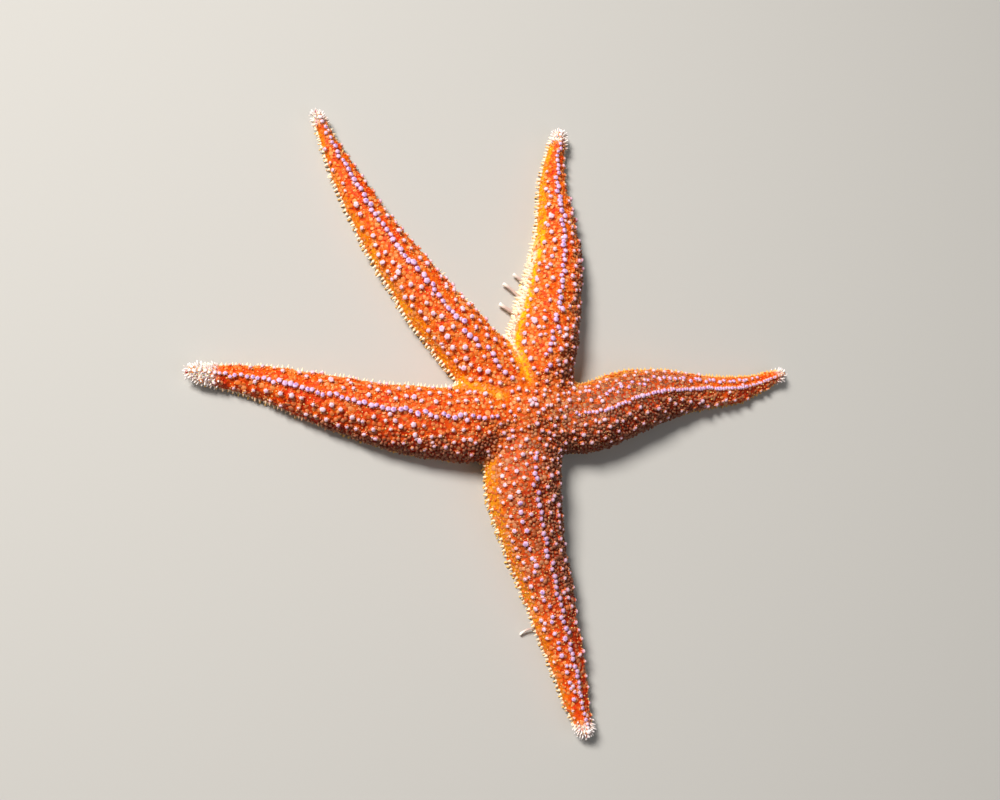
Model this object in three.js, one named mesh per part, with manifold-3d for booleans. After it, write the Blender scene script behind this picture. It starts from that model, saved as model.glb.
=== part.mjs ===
import * as THREE from 'three';
import { mergeVertices } from 'three/addons/utils/BufferGeometryUtils.js';
import Module from 'manifold-3d';

const wasm = await Module();
wasm.setup();

// A common starfish (Asterias rubens) at life size, in millimetres, crawling on a flat floor.
// Five tapering arms leave a small disc, each with its own bend and girth. The animal lies on
// the flat lips of the grooves under its arms, with its tube feet reaching down between them.

// Arms, counter-clockwise from the one ahead. Each runs from the disc's centre to its tip:
// reach and heading (degrees) of the straight line between them, drift of the middle line to
// the left of that line at each fifth of it, and half the width at the places in GIRTH_AT.
const ARMS = [
  { reach: 86.8, heading: 78.7, drift: [-1.7, -3.0, -3.3, -0.2], girth: [10.3, 8.9, 6.5, 4.0, 2.9] },
  { reach: 101, heading: 122.9, drift: [1.9, 4.0, 4.6, 3.0], girth: [9.1, 7.9, 5.8, 3.8, 2.4] },
  { reach: 90.5, heading: 172.4, drift: [4.5, 4.9, 2.6, 0.1], girth: [10.2, 8.7, 6.7, 4.3, 2.8] },
  { reach: 86.7, heading: 277.6, drift: [-4.6, -4.5, -2.7, -1.0], girth: [10.6, 8.3, 6.4, 4.6, 2.9] },
  { reach: 85.7, heading: 368.6, drift: [-3.2, -0.6, -0.9, -2.4], girth: [9.8, 8.8, 5.7, 4.0, 2.4] },
];
const GIRTH_AT = [0.22, 0.42, 0.62, 0.82, 0.95];
const TIP_ROUNDING = 0.035;         // last share of an arm, where it closes to a blunt end
const TIP_END = 0.35;               // width left at the very end, as a share
const TIP_NOSE = 0.6;               // how much of the closing end's height is lost from below
const TIP_LIFT = 1.6;               // how far an arm's end curls off the floor
const TIP_LIFT_FROM = 0.84;

// Cross-section of an arm: a dome on a flat sole.
const HEIGHT_TO_WIDTH = 0.66;
const WIDEST_AT = 0.25;             // height of the widest line, as a share of the full height
const SOLE_WIDTH = 0.87;            // width of the sole, as a share of the full width
const DOME_STEPS = 7;
const STATIONS = [0, 0.12, 0.22, 0.33, 0.45, 0.57, 0.68, 0.79, 0.89, 0.95, 0.98, 1];

// Disc.
const DISC_RADIUS = 14.5;
const DISC_HEIGHT = 12.8;
const ARM_ROOT_HEIGHT = 12.3;       // height of the arms where they meet in the disc
const DISC_BULGE = 2.6;             // exponent of its profile: 2 is an ellipse, more is flatter
const DISC_SIDES = 12;
const DISC_STEPS = 4;
const HEIGHT_BLEND = 0.26;          // share of an arm over which its height leaves the disc's

// Thin cuts between the pieces.
const PIECE_GAP = 0.3;
const ARM_ROOTS = [23, 22.5, 24.5, 18.5, 19.5];     // radius of each arm's cut from the disc
const ARM_LENGTHS = ['base', 'middle', 'tip'];
const LENGTH_ENDS = [0.5, 0.74, 1.1];

// Grooves under the arms, the mouth where they meet, and the tube feet in them.
const GROOVE_WIDTH = 0.27;          // half-width at the lips, as a share of the arm's
const GROOVE_ROOF = 0.6;            // half-width of its roof, as a share of the lips'
const GROOVE_DEPTH = 0.26;          // as a share of the arm's height
const GROOVE_END = 0.93;
const BELOW_FLOOR = 1;              // how far the cutting bodies reach past the sole
const MOUTH_PIT = { radius: 5.3, depth: 4.2, sides: 14 };
const JAWS = { ring: 4.8, segments: 7, bottom: 0.8, top: 3.4 };
const JAW_OUTLINE = [[-0.34, 3.2], [-0.12, 1.5], [0.12, 1.5], [0.34, 3.2]];     // angle and radius
const THROAT = 3.6;                 // radius of the opening between two jaws
const FOOT = { radius: 0.66, sides: 3, spacing: 12, from: 15, to: 0.78, apart: 0.46 };
const STRAY_FOOT = { radius: 0.58, sides: 5, height: 0.95, root: 3.5 };
const STRAY_FEET = [
  { from: 29.5, turn: 40, out: 4.4 },
  { from: 34, turn: 40, out: 5.0 },
  { from: 38.5, turn: 40, out: 3.4 },
];

// Madreporite: a button in the disc between the second and third arms.
const MADREPORITE = { radius: 1.3, crown: 1, sides: 14, heading: 158, distance: 10.5, rise: 0.55, seat: 1.6 };

// Spines, all blunt. turn is the place on the dome, in degrees from the right-hand margin.
const KNOB = { root: 0.85, head: 0.6, length: 1.5, sides: 3 };
const MARGIN_SPINE = { root: 0.58, head: 0.38, length: 2.3, sides: 3 };
const KNOB_ROWS = [
  { turn: 90, spacing: 7, from: 8, to: 0.97 },
  { turn: 64, spacing: 8, from: 11.5, to: 0.48 },
  { turn: 116, spacing: 8, from: 9.5, to: 0.48 },
  { turn: 39, spacing: 9.5, from: 15, to: 0.74 },
  { turn: 141, spacing: 9.5, from: 19, to: 0.74 },
];
const MARGIN_ROWS = [
  { turn: 11, spacing: 6, from: 20, to: 0.955 },
  { turn: 169, spacing: 6, from: 20, to: 0.955 },
];
const MARGIN_LEAN = 0.35;           // how far margin spines lean towards the tip
const SPINE_SINK = 0.6;             // depth of a spine's root below the skin
const CUT_CLEARANCE = 1.35;         // a spine keeps this far from a cut
const NEIGHBOUR_CLEARANCE = 1.2;    // and this far from the next arm
const SHOWING = 0.3;                // a knob near the disc's middle stands this far clear of it
const DISC_RING = { count: 5, radius: 4.2, turn: 20 };      // round a spine at the disc's middle

const FLESH = new THREE.MeshStandardMaterial({ color: '#d8561c', roughness: 0.55, metalness: 0 });
const PALE_FLESH = new THREE.MeshStandardMaterial({ color: '#e7bf93', roughness: 0.6, metalness: 0 });
const SIEVE_PLATE = new THREE.MeshStandardMaterial({ color: '#ecd9a4', roughness: 0.7, metalness: 0 });

const UP = new THREE.Vector3(0, 0, 1);

function ease(from, to, value) {
  return THREE.MathUtils.smoothstep(value, from, to);
}

// A smooth curve through values given at rising places, held level beyond both ends.
function along(places, values, at) {
  const last = places.length - 1;
  if (at <= places[0]) return values[0];
  if (at >= places[last]) return values[last];
  const k = places.findIndex((place) => place > at) - 1;
  const slope = (i) => {
    const before = Math.max(i - 1, 0);
    const after = Math.min(i + 1, last);
    return (values[after] - values[before]) / (places[after] - places[before]);
  };
  const span = places[k + 1] - places[k];
  const t = (at - places[k]) / span;
  const rise = values[k + 1] - values[k];
  const inner = (1 - t) * (span * slope(k) - rise) - t * (span * slope(k + 1) - rise);
  return values[k] + t * rise + t * (1 - t) * inner;
}

function middleLine(arm) {
  const heading = THREE.MathUtils.degToRad(arm.heading);
  const ahead = new THREE.Vector3(Math.cos(heading), Math.sin(heading), 0);
  const left = new THREE.Vector3().crossVectors(UP, ahead);
  const drift = [0, ...arm.drift, 0];
  const points = drift.map((offset, i) => {
    const onLine = ahead.clone().multiplyScalar((arm.reach * i) / (drift.length - 1));
    return onLine.addScaledVector(left, offset);
  });
  return new THREE.CatmullRomCurve3(points, false, 'catmullrom', 0.5);
}

for (const arm of ARMS) {
  arm.line = middleLine(arm);
}

// One place along an arm: where its sole's middle is, which way it runs, and its size there.
function station(arm, share) {
  const centre = arm.line.getPoint(share);
  const ahead = arm.line.getTangent(share);
  const right = new THREE.Vector3().crossVectors(ahead, UP).normalize();
  const width = along(GIRTH_AT, arm.girth, share);
  const end = Math.max(0, (share - 1 + TIP_ROUNDING) / TIP_ROUNDING);
  const halfWidth = width * Math.max(TIP_END, Math.sqrt(Math.max(0, 1 - end * end)));
  const ownHeight = 2 * halfWidth * HEIGHT_TO_WIDTH;
  const height = THREE.MathUtils.lerp(ARM_ROOT_HEIGHT, ownHeight, ease(0, HEIGHT_BLEND, share));
  const lostHeight = (width - halfWidth) * HEIGHT_TO_WIDTH;
  centre.z = TIP_LIFT * ease(TIP_LIFT_FROM, 1, share) + lostHeight * TIP_NOSE;
  return { centre, ahead, right, halfWidth, height };
}

// The same between two stations, on the straight stretch that joins them.
function onStretch(arm, share) {
  const next = Math.max(1, STATIONS.findIndex((place) => place > share));
  const t = (share - STATIONS[next - 1]) / (STATIONS[next] - STATIONS[next - 1]);
  const near = station(arm, STATIONS[next - 1]);
  const far = station(arm, STATIONS[next]);
  return {
    centre: near.centre.lerp(far.centre, t),
    ahead: near.ahead.lerp(far.ahead, t).normalize(),
    right: near.right.lerp(far.right, t).normalize(),
    halfWidth: THREE.MathUtils.lerp(near.halfWidth, far.halfWidth, t),
    height: THREE.MathUtils.lerp(near.height, far.height, t),
  };
}

// Place and outward direction on the dome of an arm.
function onDome(place, turn) {
  const { centre, right, halfWidth, height } = place;
  const dome = height * (1 - WIDEST_AT);
  const across = halfWidth * Math.cos(turn);
  const up = height * WIDEST_AT + dome * Math.sin(turn);
  const point = centre.clone().addScaledVector(right, across).addScaledVector(UP, up);
  const out = right.clone().multiplyScalar(Math.cos(turn) * dome);
  out.addScaledVector(UP, Math.sin(turn) * halfWidth).normalize();
  return { point, out };
}

function armSection(place) {
  const ring = [];
  for (let i = 0; i <= DOME_STEPS; i += 1) {
    ring.push(onDome(place, (Math.PI * i) / DOME_STEPS).point);
  }
  for (const side of [-1, 1]) {
    ring.push(place.centre.clone().addScaledVector(place.right, side * place.halfWidth * SOLE_WIDTH));
  }
  return ring;
}

// A closed body through rings of equal length, each clockwise seen from the last ring.
function loft(rings) {
  const size = rings[0].length;
  const positions = rings.flat().flatMap((point) => point.toArray());
  const faces = [];
  for (let k = 0; k < rings.length - 1; k += 1) {
    for (let i = 0; i < size; i += 1) {
      const a = k * size + i;
      const b = k * size + ((i + 1) % size);
      faces.push(a, b + size, b, a, a + size, b + size);
    }
  }
  const end = (rings.length - 1) * size;
  for (let i = 1; i < size - 1; i += 1) {
    faces.push(0, i, i + 1, end, end + i + 1, end + i);
  }
  const geometry = new THREE.BufferGeometry();
  geometry.setAttribute('position', new THREE.Float32BufferAttribute(positions, 3));
  geometry.setIndex(faces);
  return geometry;
}

function toSolid(geometry) {
  const bare = geometry.clone();
  bare.deleteAttribute('normal');
  bare.deleteAttribute('uv');
  const merged = mergeVertices(bare, 1e-4);
  const mesh = new wasm.Mesh({
    numProp: 3,
    vertProperties: new Float32Array(merged.attributes.position.array),
    triVerts: new Uint32Array(merged.index.array),
  });
  return new wasm.Manifold(mesh);
}

function toMesh(name, solid, material) {
  const { vertProperties, triVerts } = solid.getMesh();
  const geometry = new THREE.BufferGeometry();
  geometry.setAttribute('position', new THREE.BufferAttribute(vertProperties, 3));
  geometry.setIndex(new THREE.BufferAttribute(triVerts, 1));
  geometry.computeVertexNormals();
  const mesh = new THREE.Mesh(geometry, material);
  mesh.name = name;
  return mesh;
}

// What is left of a solid on the far side of a plane across an arm, or on the near side.
function beyond(solid, arm, share) {
  const { centre, ahead } = station(arm, share);
  return solid.trimByPlane(ahead.toArray(), ahead.dot(centre) + PIECE_GAP / 2);
}

function before(solid, arm, share) {
  const { centre, ahead } = station(arm, share);
  const back = ahead.clone().negate();
  return solid.trimByPlane(back.toArray(), back.dot(centre) + PIECE_GAP / 2);
}

function upright(radiusTop, radiusBottom, bottom, top, sides) {
  const geometry = new THREE.CylinderGeometry(radiusTop, radiusBottom, top - bottom, sides);
  geometry.rotateX(Math.PI / 2);
  geometry.translate(0, 0, (top + bottom) / 2);
  return geometry;
}

// A blunt spine or peg from a root, along a direction.
function peg(root, direction, length, rootRadius, headRadius, sides) {
  const geometry = upright(headRadius, rootRadius, 0, length, sides);
  geometry.applyQuaternion(new THREE.Quaternion().setFromUnitVectors(UP, direction));
  geometry.translate(root.x, root.y, root.z);
  return toSolid(geometry);
}

function spine(point, direction, size) {
  const root = point.clone().addScaledVector(direction, -SPINE_SINK);
  return peg(root, direction, size.length + SPINE_SINK, size.root, size.head, size.sides);
}

function flesh(arm) {
  return toSolid(loft(STATIONS.map((share) => armSection(station(arm, share)))));
}

function groove(arm) {
  const places = STATIONS.filter((share) => share < GROOVE_END);
  const rings = [...places, GROOVE_END].map((share) => {
    const { centre, right, halfWidth, height } = station(arm, share);
    const roof = height * GROOVE_DEPTH;
    const lip = halfWidth * GROOVE_WIDTH * (1 + BELOW_FLOOR / roof);
    const corners = [
      [lip, -BELOW_FLOOR],
      [halfWidth * GROOVE_WIDTH * GROOVE_ROOF, roof],
      [-halfWidth * GROOVE_WIDTH * GROOVE_ROOF, roof],
      [-lip, -BELOW_FLOOR],
    ];
    return corners.map(([x, z]) => centre.clone().addScaledVector(right, x).addScaledVector(UP, z));
  });
  return toSolid(loft(rings));
}

// Shares of an arm's length at even spacing, from a radius to a share.
function evenly(arm, spacing, from, to) {
  const shares = [];
  for (let share = from / arm.reach; share < to; share += spacing / arm.reach) {
    shares.push(share);
  }
  return shares;
}

function clearOfNeighbours(point, arm) {
  return ARMS.every((other) => {
    if (other === arm) return true;
    return STATIONS.every((share) => {
      const { centre, halfWidth } = station(other, share);
      return Math.hypot(point.x - centre.x, point.y - centre.y) > halfWidth + NEIGHBOUR_CLEARANCE;
    });
  });
}

function discHeight(radius) {
  return DISC_HEIGHT * Math.max(0, 1 - (radius / DISC_RADIUS) ** DISC_BULGE) ** (1 / DISC_BULGE);
}

// Height of an arm's dome over a place on the floor, or 0 beside it.
function armHeight(arm, point) {
  const places = STATIONS.filter((share) => share < 0.5).map((share) => station(arm, share));
  const gaps = places.map(({ centre }) => Math.hypot(point.x - centre.x, point.y - centre.y));
  const gap = Math.min(...gaps);
  const { halfWidth, height } = places[gaps.indexOf(gap)];
  if (gap > halfWidth) return 0;
  return height * (WIDEST_AT + (1 - WIDEST_AT) * Math.sqrt(1 - (gap / halfWidth) ** 2));
}

function showsOnDisc(point, arm) {
  const others = ARMS.filter((other) => other !== arm).map((other) => armHeight(other, point));
  const cover = Math.max(discHeight(Math.hypot(point.x, point.y)), ...others);
  return point.z > cover + SHOWING;
}

function armSpines(arm) {
  const spines = [];
  for (const row of KNOB_ROWS) {
    for (const share of evenly(arm, row.spacing, row.from, row.to)) {
      const { point, out } = onDome(onStretch(arm, share), THREE.MathUtils.degToRad(row.turn));
      spines.push({ share, onDisc: showsOnDisc(point, arm), solid: spine(point, out, KNOB) });
    }
  }
  for (const row of MARGIN_ROWS) {
    for (const share of evenly(arm, row.spacing, row.from, row.to)) {
      const place = onStretch(arm, share);
      const { point, out } = onDome(place, THREE.MathUtils.degToRad(row.turn));
      const direction = out.addScaledVector(place.ahead, MARGIN_LEAN).normalize();
      const head = point.clone().addScaledVector(direction, MARGIN_SPINE.length);
      if (clearOfNeighbours(head, arm)) {
        spines.push({ share, solid: spine(point, direction, MARGIN_SPINE) });
      }
    }
  }
  return spines;
}

function armFeet(arm) {
  const feet = [];
  for (const share of evenly(arm, FOOT.spacing, FOOT.from, FOOT.to)) {
    const { centre, right, halfWidth, height } = onStretch(arm, share);
    for (const side of [-1, 1]) {
      const root = centre.clone().addScaledVector(right, side * halfWidth * GROOVE_WIDTH * FOOT.apart);
      const length = height * GROOVE_DEPTH + FOOT.radius;
      feet.push({ share, solid: peg(root, UP, length, FOOT.radius, FOOT.radius, FOOT.sides) });
    }
  }
  return feet;
}

// Three tube feet that feel about beyond the left edge of the first arm.
function strayFeet(arm) {
  return STRAY_FEET.map(({ from, turn, out }) => {
    const share = from / arm.reach;
    const { centre, right, halfWidth } = onStretch(arm, share);
    const left = right.clone().negate();
    const direction = left.clone().applyAxisAngle(UP, -THREE.MathUtils.degToRad(turn));
    const edge = centre.clone().addScaledVector(left, halfWidth * SOLE_WIDTH);
    const root = edge.addScaledVector(direction, -STRAY_FOOT.root).setZ(STRAY_FOOT.height);
    const length = STRAY_FOOT.root + out;
    const solid = peg(root, direction, length, STRAY_FOOT.radius, STRAY_FOOT.radius, STRAY_FOOT.sides);
    return { share, solid };
  });
}

function disc(bodies, grooves, spines) {
  const profile = [new THREE.Vector2(0, 0)];
  for (let i = 0; i <= DISC_STEPS; i += 1) {
    const angle = (Math.PI / 2) * (i / DISC_STEPS);
    const radius = i === DISC_STEPS ? 0 : DISC_RADIUS * Math.cos(angle) ** (2 / DISC_BULGE);
    profile.push(new THREE.Vector2(radius, DISC_HEIGHT * Math.sin(angle) ** (2 / DISC_BULGE)));
  }
  const dome = new THREE.LatheGeometry(profile, DISC_SIDES);
  dome.rotateX(Math.PI / 2);
  let solid = toSolid(dome);
  ARMS.forEach((arm, i) => {
    solid = solid.add(before(bodies[i], arm, ARM_ROOTS[i] / arm.reach));
  });
  solid = solid.add(spine(new THREE.Vector3(0, 0, DISC_HEIGHT), UP, KNOB));
  for (let i = 0; i < DISC_RING.count; i += 1) {
    const angle = THREE.MathUtils.degToRad(DISC_RING.turn) + (2 * Math.PI * i) / DISC_RING.count;
    const point = new THREE.Vector3(DISC_RING.radius, 0, discHeight(DISC_RING.radius));
    solid = solid.add(spine(point.applyAxisAngle(UP, angle), UP, KNOB));
  }
  spines.forEach((row, i) => {
    const cut = (ARM_ROOTS[i] - CUT_CLEARANCE) / ARMS[i].reach;
    for (const piece of row.filter(({ share, onDisc }) => onDisc && share < cut)) {
      solid = solid.add(piece.solid);
    }
  });
  for (const channel of grooves) {
    solid = solid.subtract(channel);
  }
  const { radius, depth, sides } = MOUTH_PIT;
  return solid.subtract(toSolid(upright(radius, radius, -BELOW_FLOOR, depth, sides)));
}

// The mouth is a ring of five jaws that point inwards between the grooves.
function jaws() {
  const leaving = ARMS.map(({ line }) => line.getTangent(0)).map(({ x, y }) => Math.atan2(y, x));
  const turn = 2 * Math.PI;
  const grooveAngles = leaving.map((angle) => (angle + turn) % turn).sort((a, b) => a - b);
  const opening = grooveAngles.flatMap((angle, i) => {
    const next = grooveAngles[i + 1] ?? grooveAngles[0] + turn;
    const jaw = JAW_OUTLINE.map(([offset, radius]) => [(angle + next) / 2 + offset, radius]);
    return [[angle, THROAT], ...jaw];
  });
  const ring = new THREE.Shape().absarc(0, 0, JAWS.ring, 0, turn, false);
  const corners = opening.map(([angle, radius]) => {
    return new THREE.Vector2(radius * Math.cos(angle), radius * Math.sin(angle));
  });
  ring.holes.push(new THREE.Path(corners));
  const geometry = new THREE.ExtrudeGeometry(ring, {
    depth: JAWS.top - JAWS.bottom,
    bevelEnabled: false,
    curveSegments: JAWS.segments,
  });
  geometry.translate(0, 0, JAWS.bottom);
  return toSolid(geometry);
}

const { radius: plateRadius, crown, distance, rise, seat } = MADREPORITE;
const plateAngle = THREE.MathUtils.degToRad(MADREPORITE.heading);
const platePlace = new THREE.Vector3(distance, 0, 0).applyAxisAngle(UP, plateAngle);
const plateTop = discHeight(distance);

function button(bottomRadius, topRadius, bottom, top) {
  const geometry = upright(topRadius, bottomRadius, bottom, top, MADREPORITE.sides);
  geometry.translate(platePlace.x, platePlace.y, 0);
  return toSolid(geometry);
}

const bodies = ARMS.map(flesh);
const grooves = ARMS.map(groove);
const spines = ARMS.map(armSpines);
const starfish = new THREE.Group();

const socketRadius = plateRadius + PIECE_GAP;
const socket = button(socketRadius, socketRadius, plateTop - seat, plateTop + seat);
starfish.add(toMesh('disc', disc(bodies, grooves, spines).subtract(socket), FLESH));
starfish.add(toMesh('mouth', jaws(), PALE_FLESH));
const plate = button(plateRadius, crown, plateTop - seat + PIECE_GAP, plateTop + rise);
starfish.add(toMesh('madreporite', plate, SIEVE_PLATE));

ARMS.forEach((arm, i) => {
  const grown = [...spines[i], ...armFeet(arm), ...(i === 0 ? strayFeet(arm) : [])];
  const clearance = CUT_CLEARANCE / arm.reach;
  let from = ARM_ROOTS[i] / arm.reach;
  ARM_LENGTHS.forEach((length, k) => {
    const to = LENGTH_ENDS[k];
    let solid = beyond(bodies[i], arm, from).subtract(grooves[i]);
    if (to < 1) solid = before(solid, arm, to);
    for (const piece of grown) {
      if (piece.share > from + clearance && piece.share < to - clearance) {
        solid = solid.add(piece.solid);
      }
    }
    starfish.add(toMesh(`arm_${i + 1}_${length}`, solid, FLESH));
    from = to;
  });
});

// The origin is on the floor, under the middle of the whole animal.
const extent = new THREE.Box3().setFromObject(starfish);
const middle = extent.getCenter(new THREE.Vector3());
starfish.position.set(-middle.x, -middle.y, -extent.min.z);
starfish.updateMatrixWorld(true);

export default starfish;
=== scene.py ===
import math

import bmesh
import bpy
import numpy as np
from mathutils import Matrix, Vector, noise
from mathutils.bvhtree import BVHTree
from mathutils.kdtree import KDTree


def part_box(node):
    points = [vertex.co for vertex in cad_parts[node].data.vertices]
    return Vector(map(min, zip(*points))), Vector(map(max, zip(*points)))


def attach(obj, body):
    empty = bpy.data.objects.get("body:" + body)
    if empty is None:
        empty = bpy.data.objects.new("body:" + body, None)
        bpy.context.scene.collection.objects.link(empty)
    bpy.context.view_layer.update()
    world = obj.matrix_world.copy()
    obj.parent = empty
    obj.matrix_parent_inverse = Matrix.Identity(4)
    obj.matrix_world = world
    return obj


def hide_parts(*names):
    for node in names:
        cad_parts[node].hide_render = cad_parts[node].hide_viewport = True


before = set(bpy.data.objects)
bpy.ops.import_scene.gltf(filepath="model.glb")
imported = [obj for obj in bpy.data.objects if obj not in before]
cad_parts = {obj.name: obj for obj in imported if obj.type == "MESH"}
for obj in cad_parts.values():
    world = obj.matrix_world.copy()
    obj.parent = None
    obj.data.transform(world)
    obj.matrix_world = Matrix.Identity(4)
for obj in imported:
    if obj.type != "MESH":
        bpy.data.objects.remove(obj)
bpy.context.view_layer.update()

# A common starfish, life size, lying on a pale studio floor. Sizes in the sections are in
# millimetres, seen from the middle of the disc, and MM and DISC_CENTRE bring them to the frame.


# --- Studio ----------------------------------------------------------------------------------
# The animal lies on a seamless pale floor. A soft lamp stands high on the far left, so shadows
# fall to the right and forwards, and a weaker one fills from the near right. The camera looks
# down, a little from the left and from the front. The lamps' places and the floor are in metres.
MM = 0.001
jaw_low, jaw_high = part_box("mouth")
DISC_CENTRE = Vector(((jaw_low.x + jaw_high.x) / 2, (jaw_low.y + jaw_high.y) / 2, 0))

CAMERA_DISTANCE = 300
CAMERA_AIM = (0, 3, 8)
CAMERA_ASIDE = (-8.1, 0.54)
CAMERA_TURNS = (11, -19)            # degrees about X, then about its own Y
LAMP_SPREAD = 110                   # degrees
FLOOR_SIZE = 6

camera = bpy.data.objects.new("camera", bpy.data.cameras.new("camera"))
camera.data.lens = 40
camera.data.sensor_width = 36
camera_turn = Matrix.Rotation(math.radians(CAMERA_TURNS[0]), 3, "X")
camera_turn = camera_turn @ Matrix.Rotation(math.radians(CAMERA_TURNS[1]), 3, "Y")
back_off = Vector((*CAMERA_ASIDE, CAMERA_DISTANCE))
camera.location = DISC_CENTRE + (Vector(CAMERA_AIM) + camera_turn @ back_off) * MM
camera.rotation_euler = camera_turn.to_euler()
camera.data.clip_start = 0.01
bpy.context.scene.collection.objects.link(camera)
bpy.context.scene.camera = camera
bpy.context.scene.view_settings.view_transform = "Standard"


def soft_lamp(name, place, size, watts, light):
    """A round lamp that faces the animal."""
    lamp = bpy.data.lights.new(name, "AREA")
    lamp.shape = "DISK"
    lamp.size = size
    lamp.energy = watts
    lamp.spread = math.radians(LAMP_SPREAD)
    lamp.color = light
    holder = bpy.data.objects.new(name, lamp)
    holder.location = place
    holder.rotation_euler = Vector(place).to_track_quat("Z", "Y").to_euler()
    bpy.context.scene.collection.objects.link(holder)


soft_lamp("key_lamp", (-0.69, 0.568, 0.947), 0.43, 8.5, (1.0, 0.965, 0.91))
soft_lamp("fill_lamp", (0.9, -0.6, 1.1), 1.0, 0.85, (0.9, 0.95, 1.0))
world = bpy.data.worlds.new("studio")
world.use_nodes = True
world.node_tree.nodes["Background"].inputs["Color"].default_value = (1.0, 0.98, 0.95, 1)
world.node_tree.nodes["Background"].inputs["Strength"].default_value = 0.14
bpy.context.scene.world = world


def new_material(name, plain_colour, roughness):
    """A material, its node tree and its shader, with one plain colour to begin with."""
    material = bpy.data.materials.new(name)
    material.use_nodes = True
    shader = material.node_tree.nodes["Principled BSDF"]
    shader.inputs["Base Color"].default_value = (*plain_colour, 1)
    shader.inputs["Roughness"].default_value = roughness
    return material, material.node_tree, shader


floor_shape = bmesh.new()
bmesh.ops.create_grid(floor_shape, x_segments=1, y_segments=1, size=FLOOR_SIZE)
floor_mesh = bpy.data.meshes.new("floor")
floor_shape.to_mesh(floor_mesh)
floor_shape.free()
floor = bpy.data.objects.new("floor", floor_mesh)
bpy.context.scene.collection.objects.link(floor)
floor_mesh.materials.append(new_material("floor", (0.55, 0.54, 0.52), 0.8)[0])


# --- Body shape ------------------------------------------------------------------------------
# The soft body is a low disc that runs out into five tapering arms, each a dome on a flat sole
# with a groove along it and a blunt tip. Small chalk plates in its wall hold it in shape. Here it
# is swollen from plain shapes into one closed rough shell.
ARMS = [
    # reach and heading, the drift of the middle line to the left at each fifth of the way, the
    # half-width at the places in GIRTH_AT, where the tip turns white, how far apart the knobs of
    # the crest stand, how much further up the shaded flank the soft fingers and the painted shade
    # reach, how red it is, partly its own red and partly painted shade, how thickly fingers bloom
    # on the bright side, which also tans the skin as partly painted shade, how strong the comb and
    # how yellow the margin
    {"reach": 86.8, "heading": 78.7, "drift": (-1.7, -3.0, -3.3, -0.2),
     "girth": (10.3, 8.9, 6.5, 4.0, 2.9), "white_from": 0.93, "chain": 1.75,
     "fuzz_and_shade": 0.0, "red": 0.05, "bloom_and_shade": 0.15, "comb": 1.0, "gold": 0.88},
    {"reach": 101, "heading": 122.9, "drift": (1.9, 4.0, 4.6, 3.0),
     "girth": (9.1, 7.9, 5.8, 3.8, 2.4), "white_from": 0.945, "chain": 1.85,
     "fuzz_and_shade": 0.0, "red": 0.05, "bloom_and_shade": 0.18, "comb": 0.95, "gold": 0.5},
    {"reach": 90.5, "heading": 172.4, "drift": (4.5, 4.9, 2.6, 0.1),
     "girth": (10.2, 8.7, 6.7, 4.3, 2.8), "white_from": 0.9, "chain": 1.6,
     "fuzz_and_shade": 0.0, "red": 0.9, "bloom_and_shade": 0.22, "comb": 0.85, "gold": 0.4},
    {"reach": 86.7, "heading": 277.6, "drift": (-4.6, -4.5, -2.7, -1.0),
     "girth": (10.6, 8.3, 6.4, 4.6, 2.9), "white_from": 0.94, "chain": 1.7,
     "fuzz_and_shade": 0.36, "red": 0.9, "bloom_and_shade": 0.75, "comb": 0.8, "gold": 0.5},
    {"reach": 85.7, "heading": 368.6, "drift": (-3.2, -0.6, -0.9, -2.4),
     "girth": (9.8, 8.8, 5.7, 4.0, 2.4), "white_from": 0.945, "chain": 1.15,
     "fuzz_and_shade": 0.14, "red": 0.6, "bloom_and_shade": 1.0, "comb": 0.62, "gold": 0.5},
]
GIRTH_AT = (0.22, 0.42, 0.62, 0.82, 0.95)
HEIGHT_TO_WIDTH = 0.66
WIDEST_AT = 0.25                    # the share of its height where an arm is widest
ARM_SIDES = 40
ARM_RINGS = 90
TIP_ROUNDING = 0.035                # the share of an arm's length over which its tip closes
TIP_END = 0.35                      # what is left there of its half-width
TIP_NOSE = 0.6                      # how far the closing tip draws up from the floor
TIP_LIFT = 1.6
TIP_LIFT_FROM = 0.84
DISC_RADIUS = 14.5
DISC_HEIGHT = 12.8
DISC_BULGE = 2.6                    # 2 is a round dome, and more is a fuller one
DISC_SOLE = 0.8
DISC_RIM_HEIGHT = 0.3
ARM_ROOT_HEIGHT = 12.3
HEIGHT_BLEND = 0.26                 # the share of an arm over which it takes its own height
GROOVE_WIDTH = 0.27                 # of the half-width, and its depth of the height
GROOVE_DEPTH = 0.26
GROOVE_END = 0.93
MOUTH_PIT_EDGE = (3.9, 6.1)         # mm from the middle, where its slope begins and ends
MOUTH_PIT_DEPTH = 4.2
COAT_DEPTH = 0.35                   # how far the skin lies inside the animal's outline
SOLE_DEPTH = 0.75                   # and how far above the floor, where spines and feet carry it
SKIN_VOXEL = 0.48
ROUGH_VOXEL = SKIN_VOXEL * 1.3
STOPS = 121                         # places on each arm's middle line that points are measured from
BLOCK = 20000                       # points measured at once, which keeps the memory small
FULL_TURN = 2 * math.pi


def ease(low, high, value):
    """Rises smoothly from 0 at low to 1 at high."""
    share = np.clip((value - low) / (high - low), 0, 1)
    return share * share * (3 - 2 * share)


def from_middle(places):
    """How far places lie from the middle of the disc, seen from above."""
    return np.hypot(places[:, 0], places[:, 1])


def unit_rows(ways):
    """Directions brought to a length of 1."""
    return ways / np.linalg.norm(ways, axis=1)[:, None]


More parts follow.
